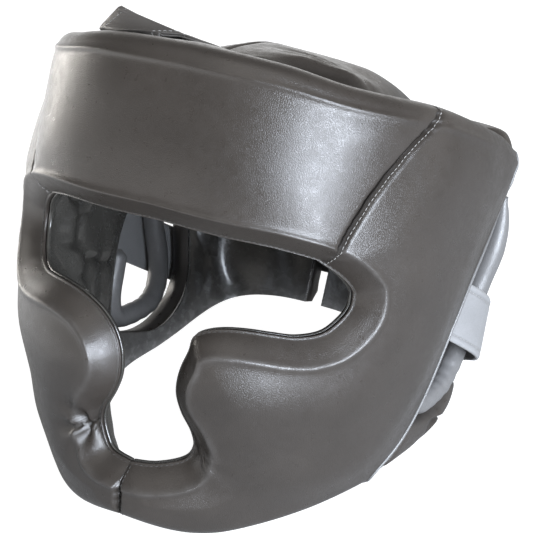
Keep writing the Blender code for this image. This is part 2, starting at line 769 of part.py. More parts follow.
def rear_panel(side, looks):
    edge = outline_stretches(ear_opening_outline(), REAR_KEYS, REAR_RUNGS)
    inner = np.stack([angle_at_y(edge[:, 0], edge[:, 1]), edge[:, 1]], 1)
    bottom = rear_bottom()
    bottom[0] = rear_edge_angle(bottom[1], REAR_GAP)
    top = rear_top()
    top[0] = rear_edge_angle(top[1], REAR_GAP)
    last = math.pi - angle_at_x(CLOSURE_GAP / 2, 0.0)
    nape = table_run(bottom[0], last, REAR_RUNGS[0] + 1)
    nape[:, 1] = height_on_table(nape[:, 0], nape_lift(nape[:, 0]))
    nape[0] = bottom
    closure_top = rim_height(last)
    closure = np.stack([np.full(REAR_RUNGS[1] + 1, last),
                        np.linspace(nape[-1, 1], closure_top, REAR_RUNGS[1] + 1)], 1)
    rim = rim_run(np.array([last, closure_top]), top, REAR_RUNGS[2] + 1)
    outer = np.vstack([nape, closure[1:], rim[1:]])
    grid = panel_grid(inner, outer, REAR_ROLL, HEM_ROLL)
    near, far = cross_lengths(grid)
    from_jaw, from_temple = run_lengths(grid)
    base = PAD_THICKNESS - REAR_THICKNESS
    outer_inset = base + np.maximum.reduce([edge_drop(near, REAR_ROLL, REAR_THICKNESS / 2),
                                            edge_drop(far, HEM_ROLL, REAR_THICKNESS * 0.7),
                                            seam_drop(from_jaw), seam_drop(from_temple)])
    inner_inset = np.full(near.shape, PAD_THICKNESS)
    names = (side_name("rear_pad", side), side_name("rear_lining", side))
    pad_and_lining(names, (grid, grid), outer_inset, inner_inset, looks, side)


def ear_roll(side, looks):
    """Padded roll round the rear of the ear opening, bent forward under the ear."""
    radius = EAR_ROLL_DIAMETER / 2
    rows = np.array(EAR_ROLL_PATH)
    z = level_to_height(rows[:, 1])
    y = rear_edge_y(z) + rows[:, 0] * EAR_OPENING_REACH
    line = resample(np.stack([y, z, rows[:, 2] * radius], 1), EAR_ROLL_RINGS)
    path = inset_surface(angle_at_y(line[:, 0], line[:, 1]), line[:, 1], line[:, 2])
    tube(side_name("ear_roll", side), path, (radius, radius), EAR_ROLL_SIDES, looks["roll"], side)


def ear_strap(side, looks):
    """Strap from behind the side pad's rear edge, back over the roll to the rear panel."""
    skins = []
    for extra in (0.0, STRAP_THICKNESS):
        columns = []
        for share, tuck in EAR_STRAP_PATH:
            z = EAR_STRAP_LEVEL - share * EAR_STRAP_SLOPE + np.linspace(0, -EAR_STRAP_HEIGHT, 4)
            y = rear_edge_y(z) + SEAT_GAP + share * EAR_STRAP_LENGTH
            depth = np.full(4, tuck * EAR_STRAP_BOW + extra)
            columns.append(inset_surface(angle_at_y(y, z), z, depth))
        skins.append(np.array(columns))
    slab(side_name("ear_strap", side), skins[0], skins[1], looks["strap"], side)


def back_strap(looks):
    """Closure strap across the gap between the rear panels."""
    reach = BACK_STRAP_LENGTH / 2 / BACK_REACH
    angles = np.pi + np.linspace(-reach, reach, 15)
    heights = BACK_STRAP_LEVEL + np.linspace(-0.5, 0.5, 4) * BACK_STRAP_HEIGHT
    angle, z = np.meshgrid(angles, heights, indexing="ij")
    inner_inset = np.full(angle.shape, PAD_THICKNESS - REAR_THICKNESS - SEAT_GAP)
    skins = [inset_surface(angle, z, inner_inset - extra) for extra in (BACK_STRAP_THICKNESS, 0.0)]
    slab("back_strap", skins[0], skins[1], looks["strap"])


def crown_height(x, y):
    """Top of the crown pads over a place in plan."""
    return (CROWN_HEIGHT + CROWN_RISE - CROWN_FALL_SIDE * (x / HALF_WIDTH) ** 2
            - CROWN_FALL_BACK * smooth((y + FRONT_REACH * 0.3) / BACK_REACH)
            - CROWN_RIGHT_DROP * smooth(-x / HALF_WIDTH / 0.3))


def crown_pad(side, looks):
    """Soft flap over one half of the crown, sewn in below the rim."""
    angles = np.radians(np.linspace(CROWN_START, CROWN_END, CROWN_RUNGS + 1))
    seat = rim_height(angles) - CROWN_SEAT
    border = inset_surface(angles, seat, np.full(len(angles), CROWN_INSET))
    centre_y = np.linspace(border[0, 1] + CROWN_HEM, border[-1, 1] - CROWN_HEM, len(border))
    centre = np.stack([np.full(len(border), CROWN_SPLIT / 2), centre_y, seat], 1)
    shares = np.array(CROWN_ROWS)
    tops = border[:, None, :] + (centre - border)[:, None, :] * shares[None, :, None]
    rise = smooth(shares / CROWN_SHOULDER) ** 0.6
    rise = np.broadcast_to(rise, tops.shape[:2])
    tuck = 1 - CROWN_TUCK * np.exp(-((np.degrees(angles)[:, None] - CROWN_TUCK_ANGLE) / 9) ** 2) * (1 - shares)
    full = crown_height(tops[..., 0] * side, tops[..., 1])
    ends = np.sin(np.pi * np.clip(np.linspace(0.03, 0.97, len(border)), 0, 1))[:, None] ** 0.35
    lifted = seat[:, None] + (full - seat[:, None]) * rise * tuck * ends
    tops[..., 2] = lifted
    lower = tops.copy()
    lower[..., 2] -= CROWN_PAD_THICKNESS
    slab(side_name("crown_pad", side), tops, lower, looks["pad"], side)


def thickened(grid, thickness):
    """The grid's other skin, under it by a thickness."""
    along = np.gradient(grid, axis=0)
    across = np.gradient(grid, axis=1)
    normal = np.cross(along, across)
    normal /= np.linalg.norm(normal, axis=-1, keepdims=True)
    return grid + normal * thickness


def crown_strap(looks):
    """Flat strap sewn inside the front rim, leant over it, folded and laid back over the crown."""
    share = np.linspace(0, 1, 5)
    ends = np.array(CROWN_STRAP_FOLD) * (HALF_WIDTH, -FRONT_REACH, CROWN_HEIGHT)
    fold = ends[0] + (ends[1] - ends[0]) * share[:, None] + (0, 0, CROWN_HEIGHT)
    turn = math.radians(CROWN_STRAP_TURN)
    run = np.array([math.sin(turn), math.cos(turn)])
    first, last = np.radians(CROWN_STRAP_SEAT_ANGLES)
    angle = first + (last - first) * share
    rim = rim_height(angle)
    inset = np.full(len(angle), CROWN_STRAP_INSET)
    rows = [inset_surface(angle, rim - CROWN_STRAP_SEAT, inset),
            inset_surface(angle, rim + CROWN_STRAP_CLEARANCE, inset)]
    lean = inset_surface(angle, rim, inset - CROWN_STRAP_OVERHANG * (1 - share))
    lean[:, 2] = rim + CROWN_STRAP_CLEARANCE
    rows += [lean, fold]
    for reach, kept in CROWN_STRAP_PROFILE:
        spots = fold[:, :2] + run * reach * CROWN_STRAP_LENGTH
        over = crown_height(spots[:, 0], spots[:, 1]) + CROWN_STRAP_LIFT + STRAP_THICKNESS
        rows.append(np.column_stack([spots, over + (fold[:, 2] - over) * kept]))
    outer = np.array(rows)
    slab("crown_strap", outer, thickened(outer, STRAP_THICKNESS), looks["strap"])


def centre_on_box(objects):
    """Move the whole guard so that the middle of its bounding box stands over the origin."""
    points = np.array([vertex.co for obj in objects for vertex in obj.data.vertices])
    middle = (points.min(axis=0) + points.max(axis=0)) / 2
    for obj in objects:
        obj.data.transform(Matrix.Translation((-middle[0], -middle[1], 0.0)))


def main():
    clear_scene()
    looks = {"pad": leather("padded_leather", LEATHER, 0.42),
             "lining": leather("lining_leather", LINING_LEATHER, 0.30),
             "roll": leather("roll_leather", LEATHER, 0.38),
             "strap": leather("strap_leather", STRAP_LEATHER, 0.45)}
    forehead(looks)
    back_strap(looks)
    crown_strap(looks)
    for side in (1, -1):
        side_pad(side, looks)
        rear_panel(side, looks)
        ear_roll(side, looks)
        ear_strap(side, looks)
        crown_pad(side, looks)
    centre_on_box(list(bpy.data.objects))


main()
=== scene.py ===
"""Dressed scene of the padded leather head guard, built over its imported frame.

The soft pieces are made in the same head frame as the part (origin between the ears at eye
level, face towards -Y) and then tilted back onto the lower edge, as the guard rests.
"""
import math

import bpy
import numpy as np
from mathutils import Matrix, Vector


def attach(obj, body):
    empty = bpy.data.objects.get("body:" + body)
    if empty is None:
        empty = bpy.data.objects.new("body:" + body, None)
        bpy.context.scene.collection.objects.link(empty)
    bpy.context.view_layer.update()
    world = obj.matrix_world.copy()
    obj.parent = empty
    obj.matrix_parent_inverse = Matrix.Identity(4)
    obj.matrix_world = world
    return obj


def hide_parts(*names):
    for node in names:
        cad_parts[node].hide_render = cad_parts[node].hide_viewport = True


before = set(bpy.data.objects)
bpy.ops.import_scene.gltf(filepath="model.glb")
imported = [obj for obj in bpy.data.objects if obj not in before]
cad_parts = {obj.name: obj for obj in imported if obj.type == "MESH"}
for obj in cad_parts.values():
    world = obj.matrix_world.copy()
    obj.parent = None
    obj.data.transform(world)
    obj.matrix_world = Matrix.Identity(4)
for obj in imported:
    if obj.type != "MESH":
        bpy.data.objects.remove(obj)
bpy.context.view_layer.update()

# Shell, in metres and degrees. These values are the part's own, up to the sewing, save those
# marked as differing.
GUARD_WIDTH = 0.232
FRONT_REACH = 0.1220
BACK_REACH = 0.1330
CROWN_HEIGHT = 0.100
CHIN_DROP = 0.150
REST_TILT = 23.4
EYE_LEVEL = 0.098
EAR_LINE = 0.016
BOX_MIDDLE = 0.00305         # middle of the tilted guard's box, behind the origin

# Padding and leather
PAD_THICKNESS = 0.025
OPENING_THICKNESS = 0.0135
OPENING_FADE = 0.035
REAR_THICKNESS = 0.024
LINING_THICKNESS = 0.002
SKIN_THICKNESS = 0.0018
SEAM_DEPTH = 0.003
SEAM_WIDTH = 0.0030          # narrower than in the part
GAP = 0.0003
LINING_GAP = 0.0005
SEAT_GAP = 0.0006
REAR_GAP = 0.0010

# Face opening and ear opening
OPENING_HALF_WIDTH = 0.099
BROW_LEVEL = 0.0140
MOUTH_DROP = 0.1125
CHEEK_ROLL = 0.0098          # narrower than in the part
BROW_ROLL = 0.008
RIM_ROLL = 0.0115            # narrower than in the part
HEM_ROLL = 0.011
RIM_DROP = 0.017
HEM_DROP = 0.015
REAR_ROLL = 0.008
REAR_EDGE_DROP = 0.007
REAR_BEVEL = 0.012
PAD_CROWN = 0.004
JAW_ANGLE = 56.0
FLATTENING = 0.003
CHIN_ANGLE = 38.0
CHIN_LIFT = 0.012
EAR_OPENING_REACH = 0.068
EAR_OPENING_TOP = 0.054
EAR_OPENING_DROP = 0.080
NAPE_LIFT = 0.006
NAPE_START = 118.0
CLOSURE_GAP = 0.012

# Ear rolls, straps and crown
EAR_ROLL_DIAMETER = 0.0125
EAR_STRAP_HEIGHT = 0.031
EAR_STRAP_LENGTH = 0.084
EAR_STRAP_LEVEL = 0.001
EAR_STRAP_SLOPE = 0.026
EAR_STRAP_BOW = 0.008
STRAP_THICKNESS = 0.0022
BACK_STRAP_LEVEL = 0.006
BACK_STRAP_THICKNESS = 0.003
BACK_STRAP_HEIGHT = 0.072
BACK_STRAP_LENGTH = 0.120
CROWN_PAD_THICKNESS = 0.008
CROWN_RISE = 0.006
CROWN_SEAT = 0.017
CROWN_SPLIT = 0.003
CROWN_SHOULDER = 0.50
CROWN_TUCK = 0.2             # less than in the part: the flap rises behind the seam
CROWN_TUCK_ANGLE = 66.4
CROWN_FALL_SIDE = 0.018
CROWN_FALL_BACK = 0.016
CROWN_START = 3.0
CROWN_END = 166.0
CROWN_RIGHT_DROP = 0.018
CROWN_STRAP_LENGTH = 0.095
CROWN_STRAP_LIFT = 0.0025
CROWN_STRAP_SEAT = 0.007
CROWN_STRAP_CLEARANCE = 0.0009
CROWN_STRAP_OVERHANG = 0.0125
CROWN_HEM = 0.004

# Sewing and softness that only show on the surface
STITCH_PITCH = 0.0027
STITCH_LENGTH = 0.0020
STITCH_SHAPE = (0.45, 0.95, 1.0, 0.95, 0.45)   # thickness along one stitch, in thread radii
THREAD_RADIUS = 0.00019
SEAM_RUNGS = 12              # rungs beside a seam that its row of stitches is placed on
SEAM_END_ROWS = 4            # rows at both ends of a seam without stitches
SEAM_STITCH_OFFSET = 0.0015  # from the seam to its row of stitches
EDGE_STITCH_OFFSET = 0.0009  # from the edge of the face opening to its row of stitches
PIPING_RADIUS = 0.0009
CREST_HEIGHT = 0.0010        # how far the crest of a rounded edge stands proud
CREST_WIDTH = 0.0017
OPENING_POWER = 1.22         # roundness of the edge round the face opening, flatter than the rim's
REAR_CREST = 0.0035          # from the side pad's rear edge to the ridge along it
PUCKER_DEPTH = 0.0005
PUCKER_PITCH = 0.0045
PINCH_DEPTH = 0.0065         # where the soft cheek folds in at the corner of the mouth
PINCH_RADIUS = 0.013
PINCH_ACROSS = 0.004         # from the opening's edge at the corner of the mouth to the pinch
PINCH_BELOW = 0.002          # and downwards
PINCH_SHARE = {1: 0.25, -1: 1.0}   # of that depth on the wearer's left and right
SEAM_SHADE_REACH = 0.0012        # how far the painted shade beside a sewn seam reaches
PIPING_ROW = -9              # row of the side pad that the piping along its rear edge lies on
WRINKLE_DEPTH = 0.0022       # of the rear panels below the ear
EDGE_FADE = 0.02             # from an edge or seam to where the face of a pad is fully slack
SEAM_FADE = 0.01             # from a seam to where the ridge along the rim is full
REAR_LINING_FADE = 0.022
SIDE_GIVE = (0.0004, 0.045, 3)       # unevenness of a pad's face: depth, size, seed of its draw
BROW_GIVE = (0.0003, 0.050, 8)
REAR_WRINKLES = (0.032, 41, 4)       # creases: size, seed of their draw, sharpness
SIDE_CREASES = (0.038, 21, 6)
BROW_CREASES = (0.050, 31, 6)
REAR_CREASES = (0.045, 51, 5)
REAR_CREST_HIGHLIGHT = 0.0014     # how far the lighter colour reaches from each edge: painted highlight along the crests and the lining hems, wear on the other edges
CHEEK_CREST_HIGHLIGHT = 0.0015
CHIN_HEM_HIGHLIGHT = 0.014
BROW_EDGE_WORN = 0.006
EAR_EDGE_WORN = 0.004
NAPE_HEM_HIGHLIGHT = 0.008
LINING_PUFF = 0.0030
LINING_HEM = 0.028           # from the rim down to where the lining starts to swell
LINING_EASE = 0.012
CROWN_FOLD_DEPTH = 0.0034
CROWN_FOLDS = (
    # turn from straight across towards the front in degrees, share of the depth, reach, spread
    (35.0, 1.00, 0.040, 0.075),
    (21.0, 0.30, 0.030, 0.030),
    (11.0, 0.55, 0.035, 0.035),
    (2.0, 0.30, 0.025, 0.030),
)
CROWN_PUFF = 0.0070          # rise of the flap behind the end of the brow seam
CROWN_PUFF_ANGLE = 58.0
CROWN_PUFF_SPREAD = 14.0     # degrees that it reaches to both sides
CROWN_PUFF_PLACE = 0.22      # share of the way to the middle of the crown
CROWN_PUFF_REACH = 0.13
CROWN_TUCK_SPREAD = 9.0
ROLL_BEND = 0.62             # share of an ear roll's length where it bends under the ear
ROLL_BEND_REACH = 0.12       # and over which it is creased there
ROLL_TAPER = 0.16            # share of its length over which its top thins out
HEM_GROOVE = 0.0004
STRAP_HEM = 0.0035           # from a strap's long edge to the groove of its hem
STRAP_HEM_WIDTH = 0.0006
BAND_HEM = 0.0045            # the same on the closure strap
BAND_HEM_WIDTH = 0.0008
STRAP_EDGE = (0.0007, 0.0012)        # rounding of a strap's edges: depth and reach
BAND_EDGE = (0.0009, 0.0015)

HALF_WIDTH = GUARD_WIDTH / 2
LINED_THICKNESS = PAD_THICKNESS + LINING_GAP + LINING_THICKNESS
CROWN_INSET = LINED_THICKNESS + 0.0025
CROWN_STRAP_INSET = LINED_THICKNESS + 0.0011
TILT = math.radians(REST_TILT)

# Studio
FLOOR_REACH = 6.0
FLOOR_DROP = 0.0002
FLOOR_SEEN = 0.98            # strength of the floor as the camera sees it
FLOOR_LIGHT = 0.17           # and as it lights the guard, rising towards the wearer's right
FLOOR_LIGHT_RIGHT = 1.8
AIR_LOW = 1.0                # light from all round, at the level of the floor and high up
AIR_HIGH = 0.16
AIR_RISE = 0.45
LIGHTS = (
    # name, degrees from the front to the wearer's left, degrees up, distance, size, watts, colour
    ("key_softbox", 56, 22, 1.6, (0.75, 1.10), 80, (0.82, 0.89, 1.0)),
    ("top_softbox", 0, 78, 1.7, (1.2, 1.2), 6, (1.0, 0.97, 0.92)),
    ("right_softbox", -100, -2, 1.6, (0.7, 0.4), 12, (1.0, 0.95, 0.88)),
)

# Camera of the photograph
CAMERA_AZIMUTH = 27.507      # degrees from the front towards the wearer's left
CAMERA_ELEVATION = 30.047
CAMERA_DISTANCE = 0.87059
CAMERA_ACROSS = 0.00718      # aim point, to the right of and above the head frame's origin
CAMERA_ABOVE = -0.01589
FOCAL_PIXELS = 1618.84
PHOTO_PIXELS = 533
SENSOR_WIDTH = 36.0

# Horizontal sections: level (-1 lowest section, 0 eye level, 1 rim), then shares of the
# half width, front reach and back reach, where the widest place lies, and front roundness
SECTIONS = (
    # level, width, front, back, centre, roundness
    (-1.00, 0.700, 0.780, 0.830, 1.90, 1.85),
    (-0.80, 0.820, 0.855, 0.870, 1.90, 1.88),
    (-0.60, 0.900, 0.910, 0.920, 1.85, 2.05),
    (-0.333, 0.955, 0.965, 0.970, 1.50, 2.45),
    (-0.067, 0.990, 1.000, 0.985, 1.00, 2.62),
    (0.306, 1.006, 0.989, 1.000, 1.40, 2.58),
    (0.663, 1.020, 0.972, 1.000, 1.80, 2.50),
    (1.00, 0.975, 0.950, 0.950, 1.80, 2.50),
)
BACK_ROUNDNESS = 2.6

# Left half of the face opening, from the brow seam round the cheek to the chin
OPENING_EDGE = (
    # across, level
    (0.899, 0.650),
    (0.944, 0.393),
    (0.980, 0.070),
    (1.000, -0.036),
    (1.000, -0.108),
    (0.970, -0.178),
    (0.909, -0.248),
    (0.808, -0.280),
    (0.697, -0.281),
    (0.576, -0.280),
    (0.455, -0.290),
    (0.354, -0.314),
    (0.273, -0.350),
    (0.212, -0.413),
    (0.172, -0.484),
    (0.157, -0.556),
    (0.162, -0.628),
    (0.202, -0.709),
    (0.263, -0.789),
    (0.283, -0.861),
    (0.253, -0.933),
    (0.162, -0.982),
    (0.000, -1.000),
)

# How far the soft left (1) and right (-1) sides slump: cheeks outwards, lower rear panels inwards
CHEEK_SPREAD = {1: 0.0075, -1: -0.0045}
REAR_LEAN = {1: -0.004, -1: 0.018}

# Rows of OPENING_EDGE at its corners, and the one at the corner of the mouth
OPENING_KEYS = (0, 3, 7, 18, 22)
MOUTH_CORNER = 19

# Lower edge of the forehead pad, from the middle to the brow seam
BROW_EDGE = (
    # across, level
    (0.000, 1.000),
    (0.343, 0.950),
    (0.646, 0.940),
    (0.848, 0.790),
    (0.899, 0.650),
)

# Seam between forehead and side pad: share of the crown height, and the angle round the head
BROW_SEAM = (
    # level, angle from the front in degrees
    (0.060, 42.0),
    (0.240, 44.0),
    (0.320, 45.5),
    (0.475, 48.8),
    (0.690, 55.9),
    (0.850, 63.8),
    (0.940, 66.4),
)

# Rear edge of the side pad: level as in SECTIONS, and share of the back reach
SIDE_REAR_EDGE = (
    # level, set-back
    (-0.710, -0.040),
    (-0.550, 0.060),
    (-0.440, 0.095),
    (-0.190, 0.155),
    (0.000, 0.235),
    (0.290, 0.365),
    (0.410, 0.430),
    (0.540, 0.500),
    (0.740, 0.520),
)

# Height of the rim round the head: angle in degrees, share of the crown height
RIM_LEVELS = (
    (0.0, 1.000),
    (20.0, 0.985),
    (40.0, 0.945),
    (66.4, 0.925),
    (84.0, 0.880),
    (100.0, 0.800),
    (112.0, 0.770),
    (125.0, 0.850),
    (180.0, 0.830),
)

# Ear opening behind the side pad, bottom to top: share of its reach, level as in SECTIONS
EAR_OPENING_EDGE = (
    # behind the side pad's rear edge, level
    (0.41, -0.533),
    (0.60, -0.510),
    (0.78, -0.450),
    (0.93, -0.367),
    (1.00, -0.253),
    (0.93, -0.100),
    (0.83, 0.000),
    (0.64, 0.200),
    (0.41, 0.400),
)

# Centre line of the ear roll, from the temple down and round under the ear
EAR_ROLL_PATH = (
    # behind, level, depth in roll radii
    (0.270, 0.440, 0.10),
    (0.430, 0.310, -0.30),
    (0.570, 0.160, -0.35),
    (0.700, 0.000, -0.10),
    (0.780, -0.100, 0.20),
    (0.850, -0.247, 0.70),
    (0.790, -0.347, 1.10),
    (0.660, -0.420, 1.40),
    (0.480, -0.460, 1.60),
    (0.290, -0.480, 1.70),
    (0.180, -0.440, 1.90),
    (0.120, -0.370, 2.20),
    (0.110, -0.290, 2.40),
    (0.110, -0.213, 2.60),
)

# Ear strap from the side pad back over the roll to the rear panel
EAR_STRAP_PATH = (
    # share of its length, share of its bow that it lies below the surface
    (0.00, 1.00),
    (0.12, 0.25),
    (0.26, -0.50),
    (0.40, -0.88),
    (0.56, -0.98),
    (0.70, -0.89),
    (0.84, -0.48),
    (1.00, -0.28),
)

# Crown strap, from its seat inside the front rim up to its fold and back over the crown
CROWN_STRAP_PROFILE = (
    # share of its length behind the fold, share of the fold's height kept
    (0.03, 0.90),
    (0.10, 0.62),
    (0.22, 0.26),
    (0.42, 0.04),
    (0.70, 0.00),
    (1.00, 0.00),
)
CROWN_STRAP_FOLD = (
    # share of the half width to the left, of the front reach ahead, of the crown height above
    (-0.526, 0.623, 0.085),
    (-0.164, 0.664, 0.012),
)
CROWN_STRAP_SEAT_ANGLES = (-45.0, -15.0)
CROWN_STRAP_TURN = -4.0

# Fineness: rungs between the corners of each outline, rows over a rounded edge and between
SIDE_RUNGS = (26, 44, 60, 46)
REAR_RUNGS = (50, 22, 40)
REAR_KEYS = (0, 5, 7, 10)
FOREHEAD_RUNGS = 46
ROLL_ROWS = 17
MIDDLE_ROWS = 34
RUNG_EASE = 1.6
EDGE_POWER = 2.6
LINE_STEPS = 60              # steps that a line across a panel is measured in


def level_to_height(level):
    level = np.asarray(level, float)
    return np.where(level < 0, level * CHIN_DROP, level * CROWN_HEIGHT)


def smooth(value):
    value = np.clip(value, 0.0, 1.0)
    return value * value * (3 - 2 * value)


def hermite(x, knots, values):
    """Smooth curve through the knots that never overshoots between them."""
    knots = np.asarray(knots, float)
    values = np.asarray(values, float)
    steps = np.diff(knots)
    slopes = np.diff(values) / steps
    tangents = np.zeros_like(values)
    same = slopes[1:] * slopes[:-1] > 0
    with np.errstate(divide="ignore", invalid="ignore"):
        mean = 2 * slopes[1:] * slopes[:-1] / (slopes[1:] + slopes[:-1])
    tangents[1:-1] = np.where(same, mean, 0.0)
    tangents[0] = slopes[0]
    tangents[-1] = slopes[-1]
    x = np.clip(np.asarray(x, float), knots[0], knots[-1])
    index = np.clip(np.searchsorted(knots, x) - 1, 0, len(steps) - 1)
    width = steps[index]
    t = (x - knots[index]) / width
    start = values[index] * (1 + 2 * t) * (1 - t) ** 2
    start_slope = width * tangents[index] * t * (1 - t) ** 2
    end = values[index + 1] * t * t * (3 - 2 * t)
    end_slope = width * tangents[index + 1] * t * t * (t - 1)
    return start + start_slope + end + end_slope


SECTION_HEIGHTS = level_to_height([row[0] for row in SECTIONS])


def lengths_along(points):
    """Length from a polyline's start to each of its points."""
    return np.concatenate([[0], np.cumsum(np.linalg.norm(np.diff(points, axis=0), axis=1))])


def section(z):
    """Half width, front, back, centre and front roundness of the plan section at a height."""
    columns = [hermite(z, SECTION_HEIGHTS, [row[k] for row in SECTIONS]) for k in range(1, 6)]
    width, front, back, centre, roundness = columns
    return width * HALF_WIDTH, front * FRONT_REACH, back * BACK_REACH, centre * EAR_LINE, roundness


def surface(angle, z):
    """Point of the outer surface at an angle from the front, positive to the wearer's left."""
    width, front, back, centre, roundness = section(z)
    sine = np.sin(angle)
    cosine = np.cos(angle)
    power = np.where(cosine >= 0, 2 / roundness, 2 / BACK_ROUNDNESS)
    reach = np.where(cosine >= 0, front + centre, back - centre)
    x = width * np.sign(sine) * np.abs(sine) ** power
    y = centre - np.sign(cosine) * np.abs(cosine) ** power * reach
    return np.stack([x, y, z + 0 * x], -1)


def outward(angle, z):
    turn = 1e-3
    rise = 5e-4
    round_step = surface(angle + turn, z) - surface(angle - turn, z)
    up_step = surface(angle, z + rise) - surface(angle, z - rise)
    normal = np.cross(round_step, up_step)
    return normal / np.linalg.norm(normal, axis=-1, keepdims=True)


def inset_surface(angle, z, inset):
    return surface(angle, z) - outward(angle, z) * np.asarray(inset)[..., None]


def angle_at_x(x, z):
    width, _, _, _, roundness = section(z)
    return np.arcsin(np.clip(np.abs(x) / width, 0, 1) ** (roundness / 2))


def angle_at_y(y, z):
    _, front, back, centre, roundness = section(z)
    ahead = np.clip((centre - y) / (front + centre), 0, 1)
    behind = np.clip((y - centre) / (back - centre), 0, 1)
    front_angle = np.arccos(ahead ** (roundness / 2))
    back_angle = np.pi - np.arccos(behind ** (BACK_ROUNDNESS / 2))
    return np.where(y < centre, front_angle, back_angle)


def table_height(y):
    """Height of the table in the head frame, below a point at depth y."""
    return y * math.tan(TILT) - EYE_LEVEL / math.cos(TILT)


def height_on_table(angle, lift):
    """Height of the lower edge at this angle: pressed flat on the table, or over it by lift."""
    z = np.full(np.shape(angle), -CHIN_DROP / 2)
    for _ in range(30):
        target = table_height(surface(angle, z)[..., 1]) + lift - FLATTENING
        z = 0.5 * z + 0.5 * target
    return z


def rim_height(angle):
    degrees = np.degrees(np.abs(angle))
    share = hermite(degrees, [row[0] for row in RIM_LEVELS], [row[1] for row in RIM_LEVELS])
    return share * CROWN_HEIGHT


def curve_through(points):
    """Fine polyline on the smooth curve through the given points."""
    points = np.asarray(points, float)
    padded = np.vstack([2 * points[0] - points[1], points, 2 * points[-1] - points[-2]])
    fine = []
    for k in range(len(points) - 1):
        p0, p1, p2, p3 = padded[k:k + 4]
        t = np.linspace(0, 1, 12, endpoint=False)[:, None]
        fine.append(0.5 * (2 * p1 + (p2 - p0) * t + (2 * p0 - 5 * p1 + 4 * p2 - p3) * t ** 2
                           + (3 * p1 - p0 - 3 * p2 + p3) * t ** 3))
    return np.vstack(fine + [points[-1:]])


def walk(points, shares):
    """Points at shares of a polyline's length."""
    lengths = lengths_along(points)
    targets = np.asarray(shares) * lengths[-1]
    return np.stack([np.interp(targets, lengths, points[:, k]) for k in range(points.shape[1])], 1)


def opening_point(across, level, side=1):
    spread = smooth((-0.30 - level) / 0.15) * smooth((level + 1.0) / 0.08)
    x = across * OPENING_HALF_WIDTH + CHEEK_SPREAD[side] * spread
    z = level * (BROW_LEVEL if level > 0 else MOUTH_DROP)
    return x, z


def on_surface(x, z):
    return np.stack([angle_at_x(x, z), z], -1)


def seam_angle(z):
    heights = [row[0] * CROWN_HEIGHT for row in BROW_SEAM]
    return np.radians(hermite(z, heights, [row[1] for row in BROW_SEAM]))


def rear_edge_y(z):
    heights = level_to_height([row[0] for row in SIDE_REAR_EDGE])
    return hermite(z, heights, [row[1] * BACK_REACH for row in SIDE_REAR_EDGE])


def rear_edge_angle(z, behind=0.0):
    return angle_at_y(rear_edge_y(z) + behind, z)


def seam_top():
    z = rim_height(seam_angle(CROWN_HEIGHT))
    return np.array([seam_angle(z), z])


def rear_top():
    """Where the side pad's rear edge meets the rim."""
    z = CROWN_HEIGHT * SIDE_REAR_EDGE[-1][0]
    return np.array([rear_edge_angle(z), z])


def rear_bottom():
    """Where the side pad's rear edge meets the table."""
    z = -CHIN_DROP * 0.7
    for _ in range(40):
        z = 0.5 * z + 0.5 * (table_height(rear_edge_y(z)) - FLATTENING)
    return np.array([rear_edge_angle(z), z])


def chin_lift(angle):
    return CHIN_LIFT * (1 - smooth(np.abs(angle) / math.radians(CHIN_ANGLE)))


def nape_lift(angle):
    start = math.radians(NAPE_START)
    return NAPE_LIFT * smooth((angle - start) / (math.pi - start))


def rim_run(start, end, shares):
    angles = start[0] + (end[0] - start[0]) * shares
    drift = (1 - shares) * (start[1] - rim_height(start[0])) + shares * (end[1] - rim_height(end[0]))
    return np.stack([angles, rim_height(angles) + drift], 1)


def rear_edge_run(start, end, shares, behind=0.0):
    z = start[1] + (end[1] - start[1]) * shares
    return np.stack([rear_edge_angle(z, behind), z], 1)


def table_run(start_angle, end_angle, shares):
    angles = start_angle + (end_angle - start_angle) * shares
    return np.stack([angles, height_on_table(angles, chin_lift(angles))], 1)


def even(count):
    return np.linspace(0, 1, count + 1)


def from_seam(count):
    """Shares that start close together, at a seam."""
    return even(count) ** RUNG_EASE


def to_seam(count):
    return 1 - from_seam(count)[::-1]


def edge_drop(distance, width, depth, power=EDGE_POWER):
    """How deep a rounded edge lies below the surface, at a distance from the edge."""
    inside = np.clip(1 - distance / width, 0, 1)
    return depth * (1 - (1 - inside ** power) ** (1 / power))


def seam_drop(distance):
    return SEAM_DEPTH * (1 - smooth(distance / SEAM_WIDTH))


def close_at_ends(count):
    """Shares from 0 to 1, four times as close at both ends as on average."""
    shares = np.linspace(0, 1, count)
    return shares - 0.75 / (2 * np.pi) * np.sin(2 * np.pi * shares)


def row_places(length, first_roll, last_roll):
    """Distances of the rows across a panel: close together over its two rounded edges."""
    scale = min(1.0, 0.8 * length / (first_roll + last_roll))
    shares = close_at_ends(ROLL_ROWS)
    first = shares * first_roll * scale
    last = length - shares[::-1] * last_roll * scale
    middle = first[-1] + (last[0] - first[-1]) * close_at_ends(MIDDLE_ROWS + 2)[1:-1]
    return np.concatenate([first, middle, last])


def panel_grid(inner, outer, first_roll, last_roll):
    """Grid of (angle, height) between two outlines."""
    rungs = []
    for start, end in zip(inner, outer):
        line = start + (end - start) * np.linspace(0, 1, LINE_STEPS)[:, None]
        lengths = lengths_along(on_grid(line))
        places = row_places(lengths[-1], first_roll, last_roll)
        shares = np.interp(places, lengths, np.linspace(0, 1, LINE_STEPS))
        rungs.append(start + (end - start) * shares[:, None])
    return np.array(rungs)


def on_grid(grid):
    return surface(grid[..., 0], grid[..., 1])


def distance_to(spots, line):
    """Distance of each spot from a polyline."""
    flat = spots.reshape(-1, 1, 3)
    start = line[None, :-1]
    step = np.diff(line, axis=0)[None]
    length = np.maximum((step ** 2).sum(-1), 1e-16)
    nearest = np.full(len(flat), np.inf)
    for k in range(0, len(flat), 2000):
        offset = flat[k:k + 2000] - start
        share = np.clip((offset * step).sum(-1) / length, 0, 1)
        gap = np.linalg.norm(offset - step * share[..., None], axis=-1)
        nearest[k:k + 2000] = gap.min(axis=1)
    return nearest.reshape(spots.shape[:-1])


